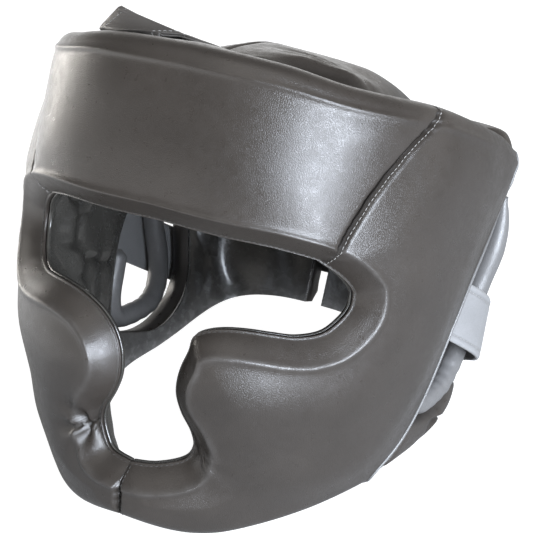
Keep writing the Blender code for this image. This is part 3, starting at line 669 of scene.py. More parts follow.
def along_rungs(grid):
    """Distance along each rung of a grid from its last row."""
    steps = np.linalg.norm(np.diff(on_grid(grid), axis=1), axis=-1)
    along = np.concatenate([np.zeros((len(grid), 1)), np.cumsum(steps, axis=1)], axis=1)
    return along[:, -1:] - along


def to_world(points, side):
    """Head frame to the guard's resting place; side -1 mirrors to the wearer's right."""
    low = smooth((-points[..., 2] / CHIN_DROP - 0.05) / 0.45)
    back = smooth(points[..., 1] / BACK_REACH / 0.5)
    lean = low * back * np.clip(np.abs(points[..., 0]) / HALF_WIDTH, 0, 1)
    leans = np.where(points[..., 0] * side > 0, REAR_LEAN[1], REAR_LEAN[-1])
    x = (points[..., 0] - np.sign(points[..., 0]) * lean * leans) * side
    y = points[..., 1] * math.cos(TILT) + points[..., 2] * math.sin(TILT)
    z = points[..., 2] * math.cos(TILT) - points[..., 1] * math.sin(TILT) + EYE_LEVEL
    return np.stack([x, y - BOX_MIDDLE, np.maximum(z, 0.0)], -1)


def opening_inner_inset(near):
    """Depth of the padding's inner skin: thin at the face opening, full further on."""
    return OPENING_THICKNESS + (PAD_THICKNESS - OPENING_THICKNESS) * smooth(near / OPENING_FADE)


def close_seams(grid, start=True, end=True):
    """Pull the first and last rung half a gap back from the seam that they lie on."""
    grid = grid.copy()
    for wanted, edge, inside in ((start, 0, 1), (end, -1, -2)):
        if wanted:
            share = GAP * 0.8 / np.linalg.norm(on_grid(grid[inside]) - on_grid(grid[edge]), axis=1)
            grid[edge] += (grid[inside] - grid[edge]) * np.minimum(share, 0.8)[:, None]
    return grid


def swell(*distances):
    """Depth to take off the outer skin where a pad swells, away from all its edges."""
    return -PAD_CROWN * smooth(np.minimum.reduce(distances) / OPENING_FADE)


def crest(distance, roll):
    """The slight ridge where a rounded edge meets the face of the pad."""
    return -CREST_HEIGHT * ridge_at(distance, roll, CREST_WIDTH)


def even_out(field, passes=7):
    """Field over a panel, softened from rung to rung."""
    field = field.copy()
    for _ in range(passes):
        field[1:-1] = (field[:-2] + 2 * field[1:-1] + field[2:]) / 4
    return field


def pucker(distance, along):
    """Small gathers beside a sewn seam, fading away from it."""
    gathers = 1 + np.sin(along / PUCKER_PITCH * 2 * np.pi)
    return PUCKER_DEPTH * np.exp(-distance / SEAM_WIDTH) * gathers


def ridge_at(distance, place, width):
    """1 at a place and falling off to both sides of it."""
    return np.exp(-((distance - place) / width) ** 2)


def waves(points, size, seed, count=9):
    """Smooth uneven field, about -1 to 1, whose bumps are about the given size across."""
    draw = np.random.default_rng(seed)
    field = np.zeros(points.shape[:-1])
    for _ in range(count):
        direction = draw.normal(size=3)
        direction *= 2 * math.pi / size / np.linalg.norm(direction) * draw.uniform(0.6, 1.2)
        field += np.sin(points @ direction + draw.uniform(0, 2 * math.pi))
    return field / math.sqrt(count)


def folds(points, size, seed, sharpness):
    """Thin branching creases, 1 along a crease and 0 away from it."""
    field = waves(points, size, seed)
    return np.exp(-(sharpness * field) ** 2) * smooth(0.5 + waves(points, size * 2.3, seed + 1))


# Meshes

def grid_faces(rows, columns, first=0, flip=False):
    faces = []
    for i in range(rows - 1):
        for j in range(columns - 1):
            a = first + i * columns + j
            b = a + columns
            faces.append((a, a + 1, b + 1, b) if flip else (a, b, b + 1, a + 1))
    return faces


def slab_mesh(outer, inner):
    """Points and faces of the closed body between two grids."""
    rows, columns = outer.shape[:2]
    count = rows * columns
    points = np.concatenate([outer.reshape(-1, 3), inner.reshape(-1, 3)])
    faces = grid_faces(rows, columns) + grid_faces(rows, columns, count, flip=True)
    border = list(range(columns))
    border += [i * columns + columns - 1 for i in range(1, rows)]
    border += [(rows - 1) * columns + j for j in range(columns - 2, -1, -1)]
    border += [i * columns for i in range(rows - 2, 0, -1)]
    for a, b in zip(border, border[1:] + border[:1]):
        faces.append((a, b, b + count, a + count))
    return points, faces


def tube_mesh(path, radii, sides, out):
    """Points and faces of a closed round body along a path; radii are one pair for each point."""
    tangents = np.gradient(path, axis=0)
    tangents /= np.linalg.norm(tangents, axis=1, keepdims=True)
    across = np.cross(tangents, out)
    across /= np.linalg.norm(across, axis=1, keepdims=True)
    out = np.cross(across, tangents)
    turns = np.linspace(0, 2 * np.pi, sides, endpoint=False)
    rings = [centre + np.cos(turns)[:, None] * across[k] * radii[k][0]
             + np.sin(turns)[:, None] * out[k] * radii[k][1] for k, centre in enumerate(path)]
    points = np.concatenate(rings)
    faces = []
    for k in range(len(path) - 1):
        for j in range(sides):
            a = k * sides + j
            b = k * sides + (j + 1) % sides
            faces.append((a, b, b + sides, a + sides))
    faces.append(tuple(reversed(range(sides))))
    last = (len(path) - 1) * sides
    faces.append(tuple(last + j for j in range(sides)))
    return points, faces


def joined(meshes):
    """Several (points, faces) bodies as one."""
    points = []
    faces = []
    count = 0
    for spots, sides in meshes:
        points.append(spots)
        faces += [tuple(index + count for index in face) for face in sides]
        count += len(spots)
    return np.concatenate(points), faces


def placed(name, data):
    """Object with the given mesh, light or camera, in the scene."""
    obj = bpy.data.objects.new(name, data)
    bpy.context.scene.collection.objects.link(obj)
    return obj


def piece(name, mesh_data, material, node=None, marks=None):
    """One shown object, riding on the guard's single body."""
    points, faces = mesh_data
    mesh = bpy.data.meshes.new(name)
    mesh.from_pydata([tuple(p) for p in points], [], faces)
    volume = 0.0
    for face in faces:
        for k in range(1, len(face) - 1):
            volume += np.dot(points[face[0]], np.cross(points[face[k]], points[face[k + 1]]))
    if volume < 0:
        mesh.flip_normals()
    mesh.materials.append(material)
    mesh.shade_smooth()
    for mark, values in (marks or {}).items():
        layer = mesh.attributes.new(mark, "FLOAT", "POINT")
        layer.data.foreach_set("value", np.asarray(values, dtype=np.float32).ravel())
    obj = placed(name, mesh)
    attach(obj, "root")
    if node:
        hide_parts(node)
    return obj


# Materials

def node_group(name, inputs, outputs):
    group = bpy.data.node_groups.new(name, "ShaderNodeTree")
    for label, kind, value in inputs:
        socket = group.interface.new_socket(label, in_out="INPUT", socket_type=kind)
        if value is not None:
            socket.default_value = value
    for label, kind in outputs:
        group.interface.new_socket(label, in_out="OUTPUT", socket_type=kind)
    return group, group.nodes.new("NodeGroupInput"), group.nodes.new("NodeGroupOutput")


def add_node(tree, kind, settings=None, values=None):
    node = tree.nodes.new(kind)
    for key, value in (settings or {}).items():
        setattr(node, key, value)
    for key, value in (values or {}).items():
        node.inputs[key].default_value = value
    return node


def leather_group():
    """Colour, roughness and bump of finished leather: grain, mottling, a lighter colour that is wear at
    some edges and painted highlight along crests and hems, and painted shade that darkens the colour in
    creases, folds, seams and hem grooves.
    """
    group, inlet, outlet = node_group(
        "leather_surface",
        [("Colour", "NodeSocketColor", (0.08, 0.075, 0.072, 1)),
         ("Wear_and_highlight_colour", "NodeSocketColor", (0.2, 0.19, 0.18, 1)),
         ("Grain", "NodeSocketFloat", 900.0),
         ("Roughness", "NodeSocketFloat", 0.4),
         ("Depth", "NodeSocketFloat", 0.3)],
        [("Colour", "NodeSocketColor"), ("Roughness", "NodeSocketFloat"), ("Normal", "NodeSocketVector")])
    link = group.links.new
    place = add_node(group, "ShaderNodeTexCoord")
    cells = add_node(group, "ShaderNodeTexVoronoi", {"feature": "DISTANCE_TO_EDGE"}, {"Randomness": 1.0})
    link(place.outputs["Object"], cells.inputs["Vector"])
    link(inlet.outputs["Grain"], cells.inputs["Scale"])
    pores = add_node(group, "ShaderNodeTexNoise", None, {"Scale": 1700.0, "Detail": 2.0, "Roughness": 0.6})
    link(place.outputs["Object"], pores.inputs["Vector"])
    broad = add_node(group, "ShaderNodeTexNoise", None, {"Scale": 26.0, "Detail": 4.0, "Roughness": 0.55})
    link(place.outputs["Object"], broad.inputs["Vector"])
    mottle = add_node(group, "ShaderNodeTexNoise", None, {"Scale": 210.0, "Detail": 3.0, "Distortion": 0.4})
    link(place.outputs["Object"], mottle.inputs["Vector"])
    ridge = add_node(group, "ShaderNodeMapRange", {"interpolation_type": "SMOOTHSTEP"},
                     {"From Min": 0.0, "From Max": 0.18})
    link(cells.outputs["Distance"], ridge.inputs["Value"])
    grain = add_node(group, "ShaderNodeMath", {"operation": "MULTIPLY_ADD"}, {1: 0.55})
    link(pores.outputs["Fac"], grain.inputs[0])
    link(ridge.outputs["Result"], grain.inputs[2])
    relief = add_node(group, "ShaderNodeMath", {"operation": "MULTIPLY_ADD"}, {1: 0.35})
    link(mottle.outputs["Fac"], relief.inputs[0])
    link(grain.outputs[0], relief.inputs[2])
    bump = add_node(group, "ShaderNodeBump", None, {"Distance": 0.00012})
    link(inlet.outputs["Depth"], bump.inputs["Strength"])
    link(relief.outputs[0], bump.inputs["Height"])
    link(bump.outputs["Normal"], outlet.inputs["Normal"])

    shade = add_node(group, "ShaderNodeMapRange", None,
                     {"From Min": 0.3, "From Max": 0.7, "To Min": 0.86, "To Max": 1.14})
    link(broad.outputs["Fac"], shade.inputs["Value"])
    dark = add_node(group, "ShaderNodeMapRange", None, {"To Min": 0.86, "To Max": 1.0})
    link(ridge.outputs["Result"], dark.inputs["Value"])
    tone = add_node(group, "ShaderNodeMath", {"operation": "MULTIPLY"})
    link(shade.outputs["Result"], tone.inputs[0])
    link(dark.outputs["Result"], tone.inputs[1])
    # Painted shade: the fold mark darkens the colour to 0.55 in creases, folds, seams and hem grooves.
    fold = add_node(group, "ShaderNodeAttribute", {"attribute_name": "fold"})
    painted_shade = add_node(group, "ShaderNodeMapRange", None, {"To Min": 1.0, "To Max": 0.55})
    link(fold.outputs["Fac"], painted_shade.inputs["Value"])
    deep = add_node(group, "ShaderNodeMath", {"operation": "MULTIPLY"})
    link(tone.outputs[0], deep.inputs[0])
    link(painted_shade.outputs["Result"], deep.inputs[1])
    tinted = add_node(group, "ShaderNodeVectorMath", {"operation": "SCALE"})
    link(inlet.outputs["Colour"], tinted.inputs[0])
    link(deep.outputs[0], tinted.inputs["Scale"])
    # Lighter colour, patchy with the mottling: wear at some edges, and painted highlight along crests and
    # hems.
    wear_and_highlight = add_node(group, "ShaderNodeAttribute", {"attribute_name": "wear_and_highlight"})
    lightening = add_node(group, "ShaderNodeMath", {"operation": "MULTIPLY", "use_clamp": True})
    link(wear_and_highlight.outputs["Fac"], lightening.inputs[0])
    link(mottle.outputs["Fac"], lightening.inputs[1])
    mix = add_node(group, "ShaderNodeMix", {"data_type": "RGBA"})
    link(lightening.outputs[0], mix.inputs["Factor"])
    link(tinted.outputs["Vector"], mix.inputs["A"])
    link(inlet.outputs["Wear_and_highlight_colour"], mix.inputs["B"])
    link(mix.outputs["Result"], outlet.inputs["Colour"])

    gloss = add_node(group, "ShaderNodeMapRange", None,
                     {"From Min": 0.3, "From Max": 0.7, "To Min": -0.05, "To Max": 0.06})
    link(mottle.outputs["Fac"], gloss.inputs["Value"])
    rough = add_node(group, "ShaderNodeMath", {"operation": "ADD"})
    link(inlet.outputs["Roughness"], rough.inputs[0])
    link(gloss.outputs["Result"], rough.inputs[1])
    link(rough.outputs[0], outlet.inputs["Roughness"])
    return group


def leather(name, colour, wear_and_highlight, roughness, depth, grain=1150.0, **shader_values):
    """Leather of one finish; the third argument is its lighter colour, for wear at some edges and for
    painted highlight along crests and hems; depth is its bump.
    """
    material = bpy.data.materials.new(name)
    material.use_nodes = True
    tree = material.node_tree
    shader = tree.nodes["Principled BSDF"]
    finish = add_node(tree, "ShaderNodeGroup", {"node_tree": LEATHER_GROUP},
                      {"Colour": (*colour, 1), "Wear_and_highlight_colour": (*wear_and_highlight, 1), "Grain": grain,
                       "Roughness": roughness, "Depth": depth})
    for output, socket in (("Colour", "Base Color"), ("Roughness", "Roughness"), ("Normal", "Normal")):
        tree.links.new(finish.outputs[output], shader.inputs[socket])
    for key, value in shader_values.items():
        shader.inputs[key.replace("_", " ")].default_value = value
    return material


def thread(name, colour):
    """Waxed thread, with its twist as a fine slanting wave."""
    material = bpy.data.materials.new(name)
    material.use_nodes = True
    tree = material.node_tree
    shader = tree.nodes["Principled BSDF"]
    place = add_node(tree, "ShaderNodeTexCoord")
    twist = add_node(tree, "ShaderNodeTexWave", {"bands_direction": "DIAGONAL"},
                     {"Scale": 900.0, "Distortion": 1.0})
    tree.links.new(place.outputs["Object"], twist.inputs["Vector"])
    tones = add_node(tree, "ShaderNodeValToRGB")
    tones.color_ramp.elements[0].color = (*[c * 0.7 for c in colour], 1)
    tones.color_ramp.elements[1].color = (*colour, 1)
    tree.links.new(twist.outputs["Fac"], tones.inputs["Fac"])
    tree.links.new(tones.outputs["Color"], shader.inputs["Base Color"])
    bump = add_node(tree, "ShaderNodeBump", None, {"Strength": 0.4, "Distance": 0.0001})
    tree.links.new(twist.outputs["Fac"], bump.inputs["Height"])
    tree.links.new(bump.outputs["Normal"], shader.inputs["Normal"])
    shader.inputs["Roughness"].default_value = 0.6
    return material


LEATHER_GROUP = leather_group()
LOOKS = {
    # The second colour of each leather is its lighter one: on the pad it is painted highlight along the
    # crests and wear at other edges, on the lining it is painted highlight along the hems, on the roll,
    # band and straps it is wear.
    "pad": leather("padded_leather", (0.032, 0.027, 0.023), (0.12, 0.115, 0.11), 0.32, 0.34,
                   Specular_IOR_Level=0.56),
    "lining": leather("lining_leather", (0.040, 0.038, 0.034), (0.50, 0.49, 0.48), 0.25, 0.20, 700.0,
                      Coat_Weight=0.6, Coat_Roughness=0.14),
    "roll": leather("roll_leather", (0.130, 0.128, 0.127), (0.26, 0.26, 0.26), 0.36, 0.30,
                    Specular_IOR_Level=0.6),
    "band": leather("crown_band_leather", (0.078, 0.071, 0.064), (0.24, 0.235, 0.23), 0.36, 0.40),
    "strap": leather("strap_leather", (0.220, 0.220, 0.222), (0.38, 0.38, 0.38), 0.45, 0.30,
                     Sheen_Weight=0.08),
    "thread": thread("stitching_thread", (0.32, 0.31, 0.295)),
    "dark_thread": thread("edge_thread", (0.055, 0.052, 0.048)),
}


# Sewing

def facing(world):
    """Outward normal at each point of a panel."""
    normal = np.cross(np.gradient(world, axis=0), np.gradient(world, axis=1))
    normal /= np.maximum(np.linalg.norm(normal, axis=-1, keepdims=True), 1e-12)
    away = world - world.reshape(-1, 3).mean(axis=0) * np.array([0, 0, 1])
    if (normal * away).sum() < 0:
        normal = -normal
    return normal


def with_normals(world):
    """Points of a panel with their outward normals beside them, six numbers for each."""
    return np.concatenate([world, facing(world)], -1)


def stitch_line(skin, distances, offset):
    """Line on a skin at an offset from an edge; the distances from it rise along each row."""
    return np.array([[np.interp(offset, gaps, row[:, k]) for k in range(6)]
                     for row, gaps in zip(skin, distances)])


def seam_line(skin, distances):
    """Line for the stitches beside the seam that the first rung lies on."""
    rows = slice(SEAM_END_ROWS, -SEAM_END_ROWS)
    return stitch_line(skin[:SEAM_RUNGS, rows].swapaxes(0, 1), distances[:SEAM_RUNGS, rows].T,
                       SEAM_STITCH_OFFSET)


def stitches(name, line, look="thread"):
    """Row of short raised stitches along a line of points with normals."""
    lengths = lengths_along(line[:, :3])
    along = np.linspace(-0.5, 0.5, len(STITCH_SHAPE)) * STITCH_LENGTH
    rise = THREAD_RADIUS * (1.2 * np.sin(np.linspace(0, math.pi, len(STITCH_SHAPE)))[:, None] - 0.3)
    sizes = THREAD_RADIUS * np.array(STITCH_SHAPE)
    bodies = []
    for k in range(int(lengths[-1] / STITCH_PITCH)):
        places = (k + 0.5) * STITCH_PITCH + along
        spots = np.stack([np.interp(places, lengths, line[:, axis]) for axis in range(6)], 1)
        path = spots[:, :3] + spots[:, 3:] * rise
        bodies.append(tube_mesh(path, np.stack([sizes, sizes], 1), 6, spots[:, 3:]))
    piece(name, joined(bodies), LOOKS[look])


def piping(name, line, material):
    """Thin cord sewn along an edge."""
    shares = np.linspace(0, 1, 160)
    path = walk(line[:, :3], shares)
    out = walk(line, shares)[:, 3:]
    sizes = PIPING_RADIUS * np.minimum(1, np.sin(np.pi * shares) ** 0.3 + 0.3)
    piece(name, tube_mesh(path, np.stack([sizes, sizes], 1), 8, out), material)


# Panels

def side_name(word, side):
    """Name of a piece on the wearer's left (1) or right (-1), or of one across the middle (0)."""
    return word + {1: "_left", -1: "_right", 0: ""}[side]


def lining_swell(grid, distances, width):
    """Where a lining swells: 1 away from its edges and from the rim."""
    below = rim_height(grid[..., 0]) - grid[..., 1]
    return smooth(np.minimum.reduce(distances) / width) * smooth((below - LINING_HEM) / LINING_EASE)


def outline_stretches(outline, keys, stretches):
    """Points along an outline, in stretches between its key points."""
    fine = curve_through(outline)
    spots = [int(np.argmin(np.linalg.norm(fine - outline[k], axis=1))) for k in keys]
    points = [fine[:1]]
    for first, last, shares in zip(spots, spots[1:], stretches):
        points.append(walk(fine[first:last + 1], shares)[1:])
    return np.vstack(points)


def brow_seam_rows():
    """Rows on the seam between forehead and side pad, from the face opening to the rim."""
    fine = np.linspace(OPENING_EDGE[0][1] * BROW_LEVEL, seam_top()[1], LINE_STEPS)
    line = np.stack([seam_angle(fine), fine], 1)
    lengths = lengths_along(on_grid(line))
    z = np.interp(row_places(lengths[-1], BROW_ROLL, RIM_ROLL), lengths, fine)
    return np.stack([seam_angle(z), z], 1)


def follow_seam(grid, weights):
    """Put the first rung of a grid on the brow seam and bend the others with it."""
    return grid + (brow_seam_rows() - grid[0]) * weights[:, None, None]


def pull_back(grid, amount):
    """Grid whose last rows are drawn back from the far outline by an amount for each rung."""
    far = along_rungs(grid)
    length = far[:, :1]
    reach = np.minimum(1.0, 2.5 * amount[:, None] / length)
    share = 1 - far / length
    start = 1 - reach
    end = 1 - amount[:, None] / length
    bent = np.where(share > start, start + (share - start) * (end - start) / np.maximum(reach, 1e-6),
                    share)
    rows = []
    for line, old, new in zip(grid, share, bent):
        rows.append(np.stack([np.interp(new, old, line[:, k]) for k in range(2)], 1))
    return np.array(rows)


def pad_and_lining(word, grids, outer_inset, inner_inset, puff, marks, side=0):
    """A padded panel and the leather behind it; returns the panel's outer skin in the world."""
    outer_grid, inner_grid = grids
    outer_inset = np.minimum(outer_inset, inner_inset - SKIN_THICKNESS)
    outer = inset_surface(outer_grid[..., 0], outer_grid[..., 1], outer_inset)
    back = inner_inset + LINING_GAP
    depths = (inner_inset, back, back + LINING_THICKNESS + puff)
    inner = [inset_surface(inner_grid[..., 0], inner_grid[..., 1], depth) for depth in depths]
    for skin in inner:
        skin[..., 0] = np.where(inner_grid[..., 0] > 0, np.maximum(skin[..., 0], GAP), skin[..., 0])
    outer, padding, behind, lining = [to_world(skin, side or 1) for skin in (outer, *inner)]
    # The lining takes its lighter colour, a painted highlight, along its lower hem, and painted shade in
    # its creases.
    plain = np.zeros(outer.shape[:2])
    shown = {"wear_and_highlight": np.stack([marks["wear_and_highlight"], plain]), "fold": np.stack([marks["fold"], plain])}
    hidden = {"wear_and_highlight": np.stack([plain, marks["hem"]]), "fold": np.stack([plain, marks["lining_crease_shade"]])}
    piece(side_name(f"{word}_padding", side), slab_mesh(outer, padding), LOOKS["pad"],
          side_name(f"{word}_pad", side), shown)
    piece(side_name(f"{word}_inner_skin", side), slab_mesh(behind, lining), LOOKS["lining"],
          side_name(f"{word}_lining", side), hidden)
    return outer


def pinch(points, centre):
    """Where the soft leather is drawn in at a corner, with short folds running out from it."""
    offset = points - centre
    distance = np.linalg.norm(offset, axis=-1)
    rays = 0.6 + 0.4 * np.cos(5 * np.arctan2(offset[..., 2], offset[..., 0]) + 1.2)
    return ridge_at(distance, 0, PINCH_RADIUS) * rays


def opening_line(skin, near):
    """Line for the stitches along the face opening, on the rolled edge of a pad."""
    return stitch_line(skin[:, :ROLL_ROWS], near[:, :ROLL_ROWS], EDGE_STITCH_OFFSET)


def side_pad(side):
    """Side pad from the temple round the cheek to the chin, with its lining and stitches."""
    outline = np.array([opening_point(*row, side) for row in OPENING_EDGE])
    first, second, third, fourth = SIDE_RUNGS
    stretches = (from_seam(first), even(second), even(third), to_seam(fourth))
    inner = outline_stretches(outline, OPENING_KEYS, stretches)
    inner = on_surface(inner[:, 0], inner[:, 1])
    top = seam_top()
    rear = rear_top()
    bottom = rear_bottom()
    jaw = math.radians(JAW_ANGLE)
    rim = rim_run(top, rear, stretches[0])
    rear_edge = rear_edge_run(rear, bottom, stretches[1])
    hem = np.vstack([table_run(bottom[0], jaw, stretches[2]), table_run(jaw, 0.0, stretches[3])[1:]])
    outer = np.vstack([rim, rear_edge[1:], hem[1:]])
    grid = panel_grid(inner, outer, CHEEK_ROLL, HEM_ROLL)
    weights = np.concatenate([1 - stretches[0], np.zeros(len(grid) - first - 1)])
    grid = follow_seam(grid, weights)
    spots = on_grid(grid)
    near = distance_to(spots, spots[:, 0])
    brow_seam = distance_to(spots, spots[0])
    chin_seam = distance_to(spots, spots[-1])
    edges = [distance_to(spots, on_grid(line)) for line in (rim, rear_edge, hem)]
    to_rim, to_rear, to_hem = edges
    grid = close_seams(grid)
    height = spots[..., 2]
    opening_roll = edge_drop(near, CHEEK_ROLL, OPENING_THICKNESS, OPENING_POWER)
    opening_crest = crest(near, CHEEK_ROLL) * smooth(brow_seam / EDGE_FADE)
    outer_inset = np.maximum.reduce([even_out(opening_roll), edge_drop(to_rim, RIM_ROLL, RIM_DROP),
                                     edge_drop(to_rear, REAR_ROLL, REAR_EDGE_DROP),
                                     edge_drop(to_hem, HEM_ROLL, HEM_DROP),
                                     seam_drop(brow_seam), seam_drop(chin_seam)])
    outer_inset = outer_inset + swell(near, *edges, brow_seam, chin_seam)
    outer_inset += even_out(opening_crest) + pucker(brow_seam, height)
    outer_inset += crest(to_rim, RIM_ROLL) * smooth(brow_seam / SEAM_FADE) + crest(to_rear, REAR_CREST)
    outer_inset += 0.5 * pucker(chin_seam, height)
    corner = surface(*on_surface(*outline[MOUTH_CORNER])) + np.array([PINCH_ACROSS, 0, -PINCH_BELOW])
    tuck = pinch(spots, corner) * PINCH_SHARE[side]
    outer_inset += PINCH_DEPTH * tuck
    depth, size, seed = SIDE_GIVE
    outer_inset += depth * waves(spots, size, seed + side) * smooth(np.minimum.reduce(edges) / EDGE_FADE)
    share = np.concatenate([np.zeros(first), stretches[1], np.ones(third + fourth)])
    inner_grid = pull_back(grid, REAR_BEVEL * np.sin(np.pi * share) ** 0.5)
    inside = lining_swell(grid, (near, *edges), EDGE_FADE)
    size, seed, sharpness = SIDE_CREASES
    creases = folds(spots, size, seed + side, sharpness)
    puff = LINING_PUFF * inside * (0.8 + 0.35 * waves(spots, 0.03, 5 + side) - 0.8 * creases)
    # Painted shade beside the brow and chin seams. In the marks below, the lighter colour is painted
    # highlight along the crest of the rear edge and of the face opening, the dark is painted shade in the
    # pinch at the corner of the mouth and beside the seams, and the lining gets painted highlight along its
    # lower hem and painted shade in its creases.
    painted_shade = np.exp(-brow_seam / SEAM_SHADE_REACH) + np.exp(-chin_seam / SEAM_SHADE_REACH)
    marks = {"wear_and_highlight": (1.2 * ridge_at(to_rear, REAR_CREST, REAR_CREST_HIGHLIGHT)
                        + 0.35 * ridge_at(near, CHEEK_ROLL, CHEEK_CREST_HIGHLIGHT)),
             "fold": np.clip(tuck + 0.9 * painted_shade, 0, 1),
             "hem": ridge_at(to_hem, 0, CHIN_HEM_HIGHLIGHT), "lining_crease_shade": creases * inside}
    skin = with_normals(pad_and_lining("side", (grid, inner_grid), outer_inset,
                                       opening_inner_inset(near), puff, marks, side))
    stitches(side_name("opening_stitches", side), opening_line(skin, near), look="dark_thread")
    stitches(side_name("brow_seam_stitches", side), seam_line(skin, brow_seam))
    if side > 0:
        stitches("chin_seam_stitches", seam_line(skin[::-1], chin_seam[::-1]), look="dark_thread")
    rear_line = skin[first:first + second + 1, PIPING_ROW]
    piping(side_name("rear_edge_piping", side), rear_line, LOOKS["roll"])


def forehead():
    """Forehead pad between the two brow seams, with its lining."""
    edge = curve_through([opening_point(*row) for row in BROW_EDGE])[::-1]
    shares = from_seam(FOREHEAD_RUNGS)
    inner = walk(edge, shares)
    inner = on_surface(inner[:, 0], inner[:, 1])
    outer = rim_run(seam_top(), np.array([0.0, rim_height(0.0)]), shares)
    half = follow_seam(panel_grid(inner, outer, BROW_ROLL, RIM_ROLL), (1 - shares) ** 2)
    grid = np.vstack([half * np.array([-1, 1]), half[-2::-1]])
    spots = on_grid(grid)
    near = distance_to(spots, spots[:, 0])
    far = distance_to(spots, spots[:, -1])
    seams = np.minimum(distance_to(spots, spots[0]), distance_to(spots, spots[-1]))
    grid = close_seams(grid)
    outer_inset = np.maximum.reduce([edge_drop(near, BROW_ROLL, OPENING_THICKNESS, OPENING_POWER),
                                     edge_drop(far, RIM_ROLL, RIM_DROP), seam_drop(seams)])
    outer_inset = outer_inset + 0.5 * swell(near, far, seams) + crest(near, BROW_ROLL)
    outer_inset += crest(far, RIM_ROLL) * smooth(seams / SEAM_FADE)
    outer_inset += pucker(seams, spots[..., 2])
    depth, size, seed = BROW_GIVE
    outer_inset += depth * waves(spots, size, seed) * smooth(far / EDGE_FADE)
    inside = lining_swell(grid, (near,), EDGE_FADE)
    creases = folds(spots, *BROW_CREASES)
    puff = LINING_PUFF * inside * (0.8 - 0.6 * creases)
    # Lighter colour: wear towards the edge of the face opening. Dark: painted shade beside the brow seams,
    # and painted shade in the lining's creases.
    marks = {"wear_and_highlight": 0.15 * np.exp(-near / BROW_EDGE_WORN),
             "fold": 0.9 * np.exp(-seams / SEAM_SHADE_REACH), "hem": 0 * near, "lining_crease_shade": creases * inside}
    skin = with_normals(pad_and_lining("forehead", (grid, grid), outer_inset,
                                       opening_inner_inset(near), puff, marks))
    stitches("brow_edge_stitches", opening_line(skin, near), look="dark_thread")


def ear_opening_outline():
    """Rear border of the ear opening as (y, z), from the jaw up to the temple."""
    levels = [row[1] for row in EAR_OPENING_EDGE]
    z = np.concatenate([[-EAR_OPENING_DROP], level_to_height(levels), [EAR_OPENING_TOP]])
    behind = [row[0] * EAR_OPENING_REACH for row in EAR_OPENING_EDGE]
    y = rear_edge_y(z) + np.array([REAR_GAP] + behind + [REAR_GAP])
    return np.stack([y, z], 1)


def rear_panel(side):
    """Rear pad from the ear opening back to the closure, with its lining."""
    stretches = [even(count) for count in REAR_RUNGS]
    edge = outline_stretches(ear_opening_outline(), REAR_KEYS, stretches)
    inner = np.stack([angle_at_y(edge[:, 0], edge[:, 1]), edge[:, 1]], 1)
    bottom = rear_bottom()
    bottom[0] = rear_edge_angle(bottom[1], REAR_GAP)
    top = rear_top()
    top[0] = rear_edge_angle(top[1], REAR_GAP)
    last = math.pi - angle_at_x(CLOSURE_GAP / 2, 0.0)
    nape = table_run(bottom[0], last, stretches[0])
    nape[:, 1] = height_on_table(nape[:, 0], nape_lift(nape[:, 0]))
    nape[0] = bottom
    closure_top = rim_height(last)
    closure = np.stack([np.full(len(stretches[1]), last),
                        nape[-1, 1] + (closure_top - nape[-1, 1]) * stretches[1]], 1)
    rim = rim_run(np.array([last, closure_top]), top, stretches[2])
    grid = panel_grid(inner, np.vstack([nape, closure[1:], rim[1:]]), REAR_ROLL, HEM_ROLL)
    spots = on_grid(grid)
    near = distance_to(spots, spots[:, 0])
    edges = [distance_to(spots, on_grid(line)) for line in (nape, closure, rim)]
    butts = np.minimum(distance_to(spots, spots[0]), distance_to(spots, spots[-1]))
    outer_inset = np.maximum.reduce([edge_drop(near, REAR_ROLL, REAR_THICKNESS / 2), seam_drop(butts)]
                                    + [edge_drop(gap, HEM_ROLL, REAR_THICKNESS * 0.7) for gap in edges])
    around = ridge_at(near, 0, 0.035) * smooth(near / 0.006)
    low = smooth(0.2 - spots[..., 2] / 0.05)
    size, seed, sharpness = REAR_WRINKLES
    wrinkles = folds(spots * np.array([1, 1, 1.8]), size, seed + side, sharpness) * low
    outer_inset = outer_inset + PAD_THICKNESS - REAR_THICKNESS
    outer_inset += WRINKLE_DEPTH * wrinkles * (0.35 + around)
    inside = lining_swell(grid, (near, *edges), REAR_LINING_FADE)
    size, seed, sharpness = REAR_CREASES
    creases = folds(spots, size, seed + side, sharpness)
    puff = LINING_PUFF * inside * (0.9 + 0.4 * waves(spots, 0.05, 7 + side) - 1.3 * creases)
    # Lighter colour: wear at the edge of the ear opening. Dark: painted shade in the wrinkles below the
    # ear. The lining gets painted highlight along its lower hem at the nape and painted shade in its
    # creases.
    marks = {"wear_and_highlight": 0.4 * np.exp(-near / EAR_EDGE_WORN), "fold": np.clip(wrinkles * 1.2, 0, 1),
             "hem": np.exp(-edges[0] / NAPE_HEM_HIGHLIGHT), "lining_crease_shade": creases * inside}
    pad_and_lining("rear", (grid, grid), outer_inset, np.full(near.shape, PAD_THICKNESS), puff, marks,
                   side)


